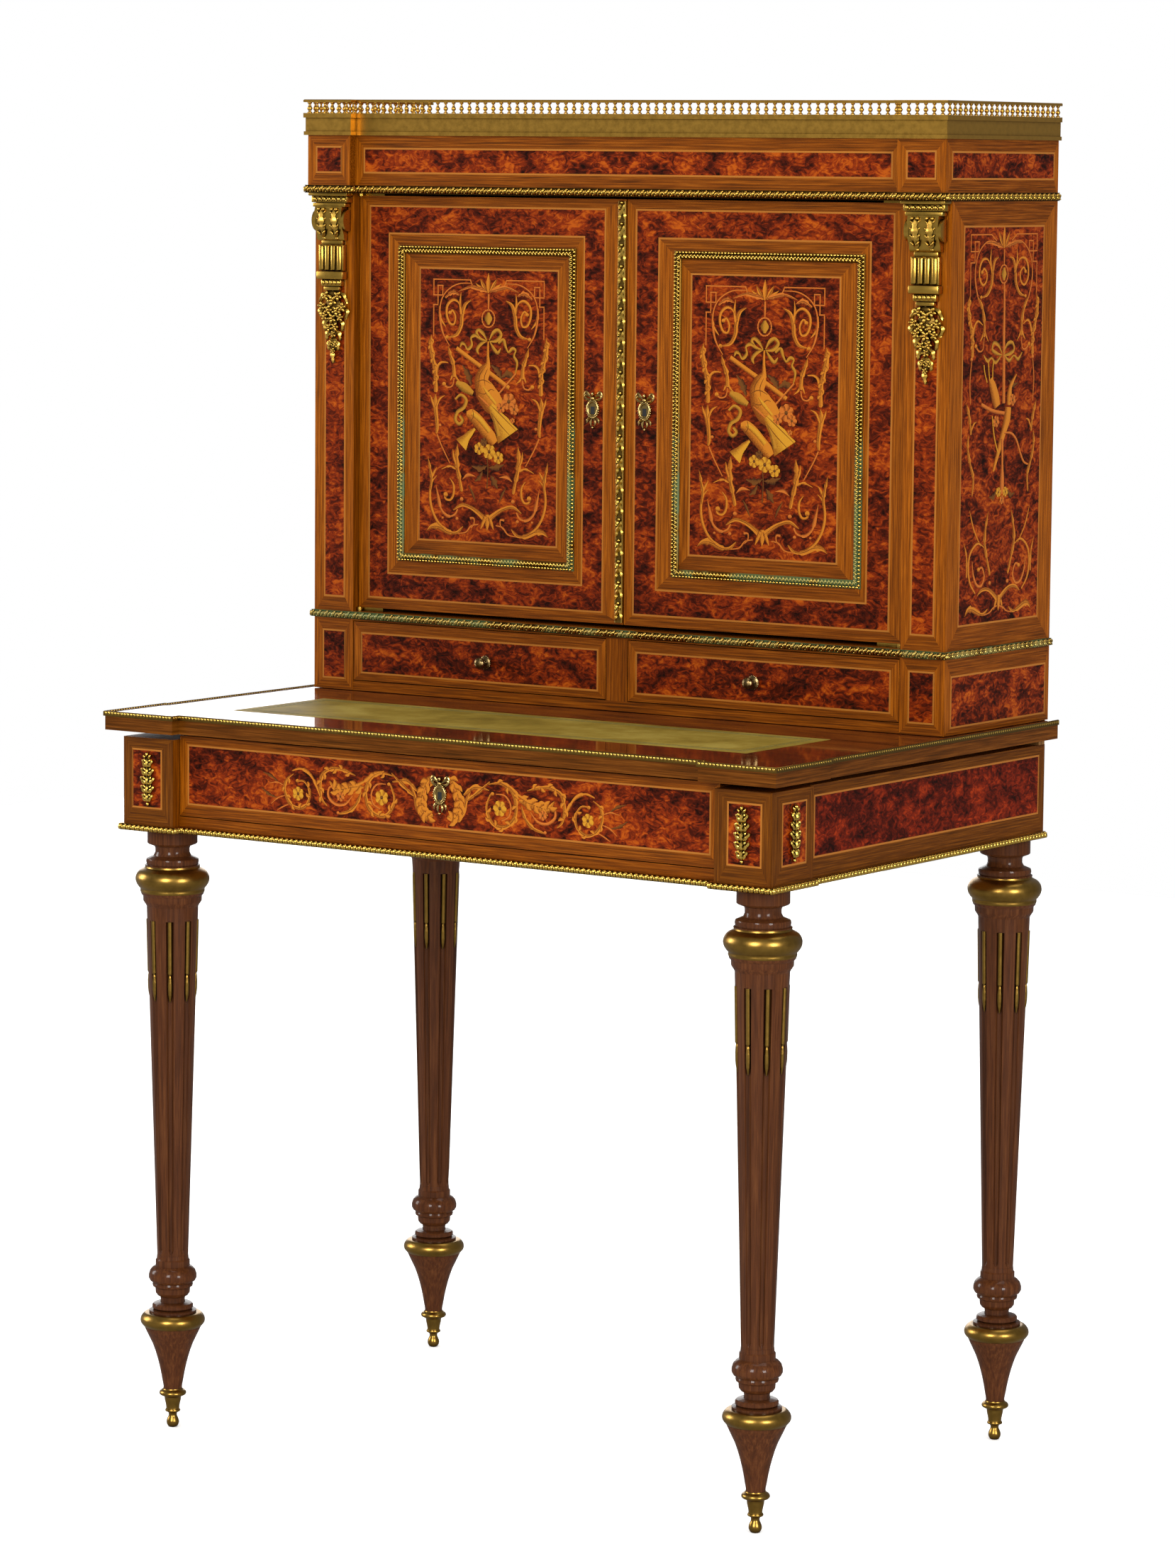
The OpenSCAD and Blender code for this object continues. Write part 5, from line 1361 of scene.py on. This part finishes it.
def bead_frame(rect):
    """A frame with a row of beads outside and a row of small leaves inside."""
    line_at = rect_line(rect)
    profile = [(0, 0.2), (0, 1.3), (0.4, 1.5), (3, 1.5), (3.3, 2.4), (7.6, 2.4), (8, 1.9),
               (8.8, 1.4), (8.8, 0.2)]
    parts = [give(smooth(sweep(line_at, profile)), "green_ground")]
    pearl = give(join([bead(0, 0, 1.9, 1.55)], "pearl"), "bead_brass")
    leaflet = give(join([bead(-0.7, -0.5, 2.6, 2.1, 1.0, 60, 1.3),
                         bead(1.0, 0.5, 2.6, 2.1, 1.0, -60, 1.3)], "leaflet"), "leaf_brass")
    for element, inset, pitch in ((pearl, 1.6, 4), (leaflet, 5.6, 4.2)):
        line = line_at(inset)
        for start, end in zip(line, line[1:]):
            parts.append(smooth(row_between(element, start, end, pitch, plan_run=False), 80))
        discard(element)
    return parts


def keyhole_plate(x, z):
    """An oval beaded plate with its keyhole, under a ribbon bow, with leaves at its foot."""
    oval = [(math.sin(a), math.cos(a)) for a in [math.tau * k / 24 for k in range(25)]]
    parts = [sweep(lambda g: [(6.6 * u + g * u, 8.2 * v + g * v) for u, v in oval],
                   [(-1.6, 0.4), (-1.6, 1.5), (-0.8, 2.3), (0.6, 2.3), (1.2, 1.5),
                    (1.2, 0.4)])]
    parts.append(sweep(lambda g: [
        ((5.4 - g) * u if g < 1 else min(1.9, max(-1.9, 2.3 * u)),
         (7 - g) * v if g < 1 else (2.3 * v if v > -0.2 else 5 * v)) for u, v in oval],
        [(0, 0.4), (0, 1.2), (5, 1.2), (5, 0.4)]))
    for u, v in oval[:-1]:
        parts.append(bead(7.7 * u, 9.4 * v, 1.4, 1.0))
    for side in (-1, 1):
        parts += [
            chased_leaf((1, 3, 2.4, 3, 1), [(side, 10.4), (side * 6, 14.5),
                                            (side * 10.5, 13), (side * 7, 9.6),
                                            (side * 1.4, 10.2)], 1, 0.9),
            chased_leaf((1.4, 2.6, 2, 0.6), [(side * 2, 11), (side * 8, 17.6),
                                             (side * 10.8, 15.4), (side * 11.4, 12)],
                        0.8, 0.7),
            chased_leaf((1, 3.2, 0.8), [(side * 2, -9.4), (side * 6.6, -11),
                                        (side * 7.4, -15.4)], 0.9, 0.9, 2),
            chased_leaf((1, 3, 0.8), [(side, -10), (side * 3, -14), (side * 2, -18)],
                        0.9, 0.9)]
    parts += [bead(0, 11, 1.2, 2.3), bead(0, -19.5, 1, 1.5), bead(0, 15.6, 1, 1.5, 2.6)]
    for part in parts:
        part.data.transform(move(x, z))
        smooth(part, 60)
    return parts


def keyway(x, z):
    """The face of the lock behind the keyhole, painted near black as the shade inside the
    keyhole.
    """
    return give(box_block(x - 2.4, x + 2.4, z - 5.4, z + 2.4, 0.3, 1.35, 0.1), "keyway")


# Heights of the doors' and the wide drawer's keyholes
DOOR_KEY_Z = 1079
DRAWER_KEY_Z = 705.75


def make_door_mounts():
    for body, rect, key_x in (("right_door", FRAME_RIGHT, 26.3),
                              ("left_door", mirrored_rect(FRAME_RIGHT), -38.9)):
        frame = join(bead_frame(rect), body + "_bead_frame")
        plate = give(join(keyhole_plate(key_x, DOOR_KEY_Z), body + "_keyhole_plate"),
                     "plate_brass")
        cast = join([frame, plate, keyway(key_x, DOOR_KEY_Z)], body + "_mounts_cast")
        dress(put(cast, facing_front(DOOR_Y - VENEER + 0.2)), body, "gilt_brass",
              body + "_mounts")
    plate = give(join(keyhole_plate(0, DRAWER_KEY_Z), "drawer_keyhole_plate"), "plate_brass")
    plate = join([plate, keyway(0, DRAWER_KEY_Z)], "drawer_keyhole_plate")
    dress(put(plate, facing_front(WIDE_Y - VENEER)), "frieze_drawer", "gilt_brass",
          "frieze_escutcheon")


ASTRAGAL_FOOT = 856.2
ASTRAGAL_TOP = 1295.8
ASTRAGAL_LINK = 22.2


def make_astragal():
    """The strip by the door joint: leaves twisting round a stem, with a bead in each turn."""
    height = ASTRAGAL_TOP - ASTRAGAL_FOOT
    profile = [(-4.8, 0), (-4.8, 1.4), (-3.9, 1.9), (-3.2, 1.3), (3.2, 1.3), (3.9, 1.9),
               (4.8, 1.4), (4.8, 0)]
    strip = give(smooth(sweep(lambda g: [(0, g), (height, g)], profile)), "dark_ground")
    link = join([
        chased_leaf((1, 5, 4.6, 1), [(-9, 3), (-3, 2.6), (3, -1), (8, -3.4)], 1.6, 2, 3),
        chased_leaf((1, 4.6, 4, 1), [(-8, -3.2), (-2, -3), (4, 1.4), (10, 3)], 1.4, 1.7, 3),
        chased_leaf((2.4, 3, 1), [(3, 3), (6.6, 3.4), (9, 0.6)], 1.8, 1.2),
        bead(9.6, -0.6, 2.2, 1.7)], "astragal_link")
    give(link, "bead_brass")
    row = row_between(link, (0, 0), (height, 0), ASTRAGAL_LINK, plan_run=False)
    discard(link)
    piece = join([strip, smooth(row, 60)], "twisted_leaf_astragal")
    upright = Matrix(((0, -1, 0, -4.2), (0, 0, -1, DOOR_Y - 0.1),
                      (1, 0, 0, ASTRAGAL_FOOT), (0, 0, 0, 1)))
    dress(put(piece, upright), "left_door", "gilt_brass", "astragal")


def acanthus_mount():
    """Five tiers of curled leaves up a rib, with a palmette at the tip and a bud below."""
    # A narrow dark backing behind the leaves, so the gaps between them show as painted shade.
    back = give(chased_leaf((2, 7, 7.4, 7, 6, 2), [(0, -25), (0, -8), (0, 8), (0, 24)],
                            1.2, 0.6, 5, 20), "dark_ground")
    parts = [bead(0, 25.6, 1.6, 1.6, 2.8), bead(-3.4, 23.4, 1.4, 1.3, 2.6, 24),
             bead(3.4, 23.4, 1.4, 1.3, 2.6, -24), bead(0, -26.4, 1, 1.8, 2)]
    for k in range(5):
        up = -19.6 + 9 * k
        reach = (5.6, 7.4, 8, 7.2, 5.8)[k]
        parts.append(chased_leaf((1.4, 4.4, 3.6, 0.8),
                                 [(0, up - 4.6, 1.2), (0, up - 1, 2.4), (0, up + 4.4, 1)],
                                 1.2, 1.2, 2))
        for side in (-1, 1):
            parts.append(chased_leaf(
                (1.6, 3.8, 3, 0.8),
                [(side * 1.2, up - 4, 0.4), (side * reach * 0.6, up - 1.6, 1.8),
                 (side * reach, up + 1.8, 1), (side * reach * 0.82, up + 4, 0.2)],
                1.2, 1.1, 2))
            parts.append(chased_leaf(
                (0.8, 2.2, 0.6),
                [(side, up + 0.4, 0.6), (side * reach * 0.5, up + 2.6, 1.5),
                 (side * reach * 0.6, up + 5, 0.4)], 1, 0.8, 0, 6))
            parts.append(bead(side * reach * 0.72, up - 0.4, 2.9, 0.9))
    leaves = give(join(parts, "acanthus_leaves"), "bead_brass")
    return smooth(join([leaves, back], "acanthus"), 60)


# Height of the block leaves, and how far from the desk's corner and its middle they sit
MOUNT_Z = 695.5
MOUNT_INSET = 32.5
MOUNT_BACK = 225.75


def make_block_mounts():
    leaf = acanthus_mount()
    front = facing_front(BLOCK_Y - VENEER)
    parts = [duplicate(leaf, place @ move(x, MOUNT_Z)) for place, x in (
        (front, MOUNT_INSET - BLOCK_X), (front, BLOCK_X - MOUNT_INSET),
        (facing_right(BLOCK_X + VENEER), -MOUNT_BACK),
        (facing_left(BLOCK_X + VENEER), MOUNT_BACK))]
    discard(leaf)
    piece = put(join(parts, "acanthus_block_mounts"), Matrix())
    dress(piece, "carcase", "gilt_brass", "block_mounts")


def turned_profile(points, x0, x1):
    """A block whose side view is the given outline of (out, up), from x0 to x1."""
    bpy.ops.mesh.primitive_circle_add(vertices=len(points), radius=1, fill_type="NGON")
    block = bpy.context.object
    for v, (out, up) in zip(block.data.vertices, points):
        v.co = (x0, up, out)
    with edit_mode(block):
        bpy.ops.mesh.select_all(action="SELECT")
        bpy.ops.mesh.extrude_region_move(TRANSFORM_OT_translate={"value": (x1 - x0, 0, 0)})
    return face_outwards(block)


# The pendant's flowers, with their radii, and the lines of its leaves
PENDANT_FLOWERS = [(-8, -112, 5.2), (7.5, -112, 5), (0, -117, 6), (-14, -123, 4.6),
                   (13.6, -124, 5), (-5, -127, 5.4), (6, -128, 5.4), (0, -136, 5.2),
                   (-10.4, -134, 4.6), (10.8, -135, 4.4), (4, -145, 4.4), (-4.4, -146, 4.4),
                   (0, -153, 4), (-3, -163, 3.6), (3.4, -164, 3.6), (0, -171, 3.2)]
PENDANT_LEAVES = [((-6, -108), (-14, -112), (-19, -119)), ((6, -108), (14, -112), (19, -120)),
                  ((-12, -124), (-18, -129), (-15, -136)), ((12, -124), (18.6, -129), (15, -137)),
                  ((-6, -136), (-12, -142), (-11, -150)), ((6, -136), (12, -142), (11, -150)),
                  ((-2, -148), (-8, -153), (-9, -160)), ((2, -148), (8, -153), (9, -160)),
                  ((0, -158), (-6, -164), (-6, -171)), ((0, -158), (6, -164), (6, -171)),
                  ((0, -168), (-1, -176), (0, -184.6)), ((0, -104), (0, -110), (1, -118))]


def corbel_blocks():
    """The cap, the bracket's core and the fluted block under it, with their rows of buds."""
    parts = [box_block(-26, 26, -4.8, 0, 0, 14.3, 1), box_block(-24, 24, -11.8, -4.8, 0, 11),
             box_block(-21.8, 21.8, -16.6, -12.2, 0, 11.6, 1),
             turned_profile([(0, -16), (12, -16), (13.2, -20), (13.8, -26), (13.4, -33),
                             (12, -39), (9.8, -43.4), (8.6, -46), (8.2, -50), (6, -52.4),
                             (0, -52.4)], -18, 18),
             box_block(-14, 14, -57, -52, 0, 5.8), box_block(-16.4, 16.4, -85, -57, 0, 7.6),
             box_block(-17.6, 17.6, -94, -85.6, 0, 10.4, 1.2),
             box_block(-13.6, 13.6, -101.6, -94, 0, 7.6, 1.5),
             box_block(-10.6, 10.6, -106, -102, 0, 6.4, 1)]
    for k in range(7):
        x = -19.5 + 6.5 * k
        parts += [bead(x, -8.2, 10.6, 2.6, 2.9, 0, 1.9), bead(x + 3.2, -9.4, 10.8, 0.9, 1.8)]
    for k in range(4):
        x = -12 + 8 * k
        parts.append(box_block(x - 2.7, x + 2.7, -84.4, -57.6, 7, 10, 1.6))
    for k in range(5):
        parts.append(bead(-10.4 + 5.2 * k, -97.6, 7.2, 2.3, 3.2, 0, 1.8))
    return parts


def corbel_scrolls():
    """A scroll on either side, and two ribbed leaves down the front between them."""
    parts = []
    for side in (-1, 1):
        scroll = [(4.4 + 9.6 * math.cos(a), -31 + 11.6 * math.sin(a))
                  for a in [math.tau * k / 24 for k in range(24)]]
        parts.append(turned_profile(scroll, side * 16, side * 21.4))
        x = side * 8.6
        parts.append(chased_leaf((3, 8.6, 8, 7, 2), [(x, -49, 8.6), (x, -40, 12),
                                                     (x, -30, 13.6), (x, -19, 13)],
                                 0.8, 2, 4, 16))
        for up, reach in ((-44, 5), (-37, 6.4), (-30, 6.6), (-23, 5.6)):
            for turn in (-1, 1):
                parts.append(bead(x + turn * reach * 0.62, up, 13, 3.2, 1.3, turn * 48, 1.8))
        parts += [bead(x - 3, -19, 14, 2), bead(x + 3, -19, 14, 2), bead(x, -50, 7, 2.2)]
    return parts


def corbel_pendant():
    """A long drop of five-petalled flowers among curled leaves."""
    parts = []
    for i, (x, y, radius) in enumerate(PENDANT_FLOWERS):
        rise = 5.4 if radius > 4 else 4
        parts.append(bead(x, y, rise + 1, radius * 0.34))
        for k in range(5):
            angle = math.tau * k / 5 + i
            parts.append(bead(x + radius * 0.62 * math.cos(angle),
                              y + radius * 0.62 * math.sin(angle), rise, radius * 0.56,
                              radius * 0.36, math.degrees(angle), radius * 0.36))
    for path in PENDANT_LEAVES:
        parts.append(chased_leaf((2.4, 6, 5, 1), path, 3, 1.4, 3))
    return parts


def corbel_cast():
    """A scrolled bracket over a fluted block, with a drop of leaves and flowers."""
    parts = corbel_blocks() + corbel_scrolls() + corbel_pendant()
    # Dark pads behind the drop, so the gaps between its flowers show as painted shade.
    shade_backing = [bead(0, -110, 2, 11, 5, 0, 3.4), bead(0, -126, 2, 12.5, 14, 0, 3.6),
               bead(0, -146, 2, 6.4, 12, 0, 3.2), bead(0, -164, 1.8, 4, 9, 0, 2.6)]
    relief = give(join(parts, "corbel_relief"), "brass")
    shade = give(join(shade_backing, "corbel_painted_shade_backing"), "dark_ground")
    return smooth(join([relief, shade], "corbel_cast"), 45)


CORBEL_X = 371
CORBEL_TOP = 1302


def make_corbels():
    cast = corbel_cast()
    for side, node in ((1, "corbel_right"), (-1, "corbel_left")):
        copy = duplicate(cast, move(side * CORBEL_X, CORBEL_TOP))
        copy.name = node + "_cast"
        dress(put(copy, facing_front(STILE_Y - 0.1)), "carcase", "gilt_brass", node)
    discard(cast)


# The leather's rectangle, and the heights of its face, its lines and its stamps
LEATHER = (-317.4, 317.4, -185.2, -29.3)
LEATHER_Z = 763.6
LINE_Z = 763.78
STAMP_Z = 763.7


def tool_leather():
    """The pressed border round the leather: two fine lines and a row of small stamps."""
    line_at = rect_line(LEATHER)
    parts = [sweep(line_at, [(inset, LEATHER_Z), (inset, LINE_Z), (inset + 0.8, LINE_Z),
                             (inset + 0.8, LEATHER_Z)]) for inset in (9, 17)]
    stamp = join([bead(0, 0, 0, 2.4, 1.2, 30, 0.3), bead(2.6, 0, 0, 1.1, 1.1, 0, 0.3)],
                 "stamp")
    line = line_at(13.4)
    for start, end in zip(line, line[1:]):
        parts.append(row_between(stamp, start, end, 7, up=STAMP_Z, plan_run=False))
    discard(stamp)
    piece = give(put(join(parts, "tooled_leather_border"), Matrix()), "tooling")
    dress(piece, "writing_top", "leather")


# Turned parts of a leg from the floor up: radius and height of each corner
SABOT = [(0.5, 0), (3.7, 0.1), (5.4, 1.6), (6.4, 4), (6.5, 6.6), (5.6, 9.4), (4.4, 12.2),
         (4.4, 14.2), (5.2, 15.8), (7.8, 17.2), (7.8, 19), (6.9, 20), (7.3, 24), (8.4, 29),
         (9.2, 33), (13.2, 35), (14.2, 37), (13.2, 39.2), (10.8, 40.8), (10.2, 42)]
FOOT_CONE = [(9.8, 42), (9.8, 44.5), (11, 51), (12.4, 59), (14.1, 67), (16.1, 75),
             (18.5, 83), (21.4, 91), (24.5, 97.5), (27.6, 104), (29.6, 108.4), (29.6, 109.6)]
FOOT_RING = [(29.8, 109.5), (30.4, 109.7), (33.2, 113), (34, 116), (33.4, 119.2),
             (31.4, 122.2), (28.7, 124.2), (24, 124.3)]
FOOT_KNOP = [(24.8, 124), (24.8, 127), (20.2, 128), (21.5, 129.6), (21.5, 132.4), (20.2, 134),
             (13.1, 135.4), (12.7, 138), (13.1, 141), (16, 142.6), (18, 145.5), (18.4, 151),
             (20.8, 152.4), (21.4, 154.6), (20.8, 156.4), (23.6, 158.5), (25.2, 161.5),
             (25.2, 165), (23.8, 169.5), (21.2, 172.5), (18, 174.5), (18, 180.5),
             (16.8, 182), (16.5, 186)]
UNDER_COLLAR = [(28.8, 561), (30.6, 564), (30.8, 569), (32.6, 571), (33.2, 573.1)]
COLLAR = [(33.2, 572.9), (33.7, 574.4), (33.7, 577), (35.5, 579), (37.9, 583), (38.7, 587.5),
          (37.5, 592), (34.7, 595.6), (30, 598.2), (28.8, 599), (28.4, 601)]
NECK = [(28.8, 600.9), (28.8, 601.8), (27, 602.5), (27.6, 606), (27, 608.4), (24.8, 609.4),
        (19.8, 611.5), (18, 615), (18, 619), (18.8, 621.5), (25.2, 624), (26.2, 625),
        (26.2, 639.8)]


LATHE_SIDES = 64
LEG_PLACES = [(x, y) for x in (-366, 366) for y in (-226.75, 243.25)]


def turn_legs():
    """Fine lathe work over the legs' turned parts, and the foot rings and sabots."""
    for name, profile, key, *replaced in (
            ("turned_collars", COLLAR, "smooth_brass"),
            ("turned_foot_rings", FOOT_RING, "smooth_brass", "foot_rings"),
            ("turned_sabots", SABOT, "smooth_brass", "sabots"),
            ("turned_foot_cones", FOOT_CONE, "leg"), ("turned_foot_knops", FOOT_KNOP, "leg"),
            ("turned_shoulders", UNDER_COLLAR, "leg"), ("turned_necks", NECK, "leg")):
        slot = "turned_wood" if key == "leg" else "gilt_brass"
        if key == "smooth_brass":
            profile = [tuple(point) for point in smooth_path(profile, 3 * len(profile))]
        first = smooth(lathe_work(profile, LATHE_SIDES), 30)
        four = [first] + [duplicate(first) for _ in LEG_PLACES[1:]]
        for piece, (x, y) in zip(four, LEG_PLACES):
            put(piece, move(x, y))
        dress(give(join(four, name), key), "carcase", slot, *replaced)


def polish_knobs():
    """The small drawers' knobs again, with their surfaces shaded round."""
    for side in ("left", "right"):
        knob = f"{side}_drawer_knob"
        piece = bpy.data.objects.new(knob + "_turned", cad[knob].data.copy())
        scene.collection.objects.link(piece)
        with edit_mode(piece):
            bpy.ops.mesh.select_all(action="SELECT")
            bpy.ops.mesh.remove_doubles(threshold=WELD)
        dress(give(smooth(piece, 36), "dark_brass"), f"{side}_small_drawer", "gilt_brass",
              knob)


def finish_nodes():
    """Gives every node its own finish."""
    kinds = {
        "leg": ["leg_front_left", "leg_front_right", "leg_rear_left", "leg_rear_right"],
        "smooth_brass": ["foot_rings", "sabots", "leg_mounts"],
        "board_x": ["bottom_rail", "case_top", "case_floor", "case_bottom", "frieze",
                    "cabinet_shelf", "frieze_drawer_front", "left_drawer_front",
                    "right_drawer_front"],
        "board_z": ["corner_block_left", "corner_block_right", "side_apron_left",
                    "side_apron_right", "case_side_left", "case_side_right",
                    "pilaster_left", "pilaster_right", "drawer_partitions", "left_door",
                    "right_door"],
        "top": ["writing_top"],
        "oak": ["top_runners", "top_guides", "frieze_drawer_box", "frieze_drawer_bottom",
                "left_drawer_box", "left_drawer_bottom", "right_drawer_box",
                "right_drawer_bottom"],
        "oak_x": ["lower_back_rail", "dust_board"],
        "oak_z": ["back_panel"],
        "brass": ["base_moulding", "block_mounts", "frieze_moulding", "corbel_left",
                  "corbel_right", "top_rim", "left_door_hinge_plates",
                  "right_door_hinge_plates", "case_hinge_plates"],
        "green_brass": ["waist_moulding", "left_door_mounts", "right_door_mounts",
                        "astragal"],
        "gallery_brass": ["gallery_base", "gallery"],
        "dark_brass": ["frieze_escutcheon", "left_drawer_knob", "right_drawer_knob"],
        "leather": ["top_leather"],
        "steel": ["door_lock", "frieze_lock"],
    }
    for key, names in kinds.items():
        for name in names:
            give(cad[name], key)


def make_floor():
    bpy.ops.mesh.primitive_plane_add(size=FLOOR_SIZE)
    floor = bpy.context.object
    floor.name = "studio_floor"
    give(floor, "floor")


def make_daylight():
    """White surroundings that show less in polish and brass than on matt surfaces."""
    world = scene.world or bpy.data.worlds.new("studio")
    scene.world = world
    world.use_nodes = True
    world.cycles.sampling_method = "NONE"
    sky = world.node_tree
    sky.nodes.clear()
    rays = add(sky, "ShaderNodeLightPath").outputs
    dimmed = spread(sky, rays["Is Glossy Ray"], DAYLIGHT, MIRRORED_LIGHT)
    glow = blend_values(sky, dimmed, 1.0, rays["Is Camera Ray"])
    white = add(sky, "ShaderNodeBackground", inputs={
        "Color": rgb("#ffffff"), "Strength": glow})
    add(sky, "ShaderNodeOutputWorld", inputs={0: white.outputs[0]})
    scene.view_settings.view_transform = "Standard"


make_camera()
for lamp in SOFTBOXES:
    softbox(*lamp)
make_floor()
make_daylight()
finish_nodes()
veneer_cabinet()
veneer_lower_case()
veneer_doors()
veneer_drawers()
lay_marquetry()
make_mouldings()
make_gallery()
make_door_mounts()
make_astragal()
make_block_mounts()
make_corbels()
tool_leather()
turn_legs()
polish_knobs()

bpy.context.view_layer.update()
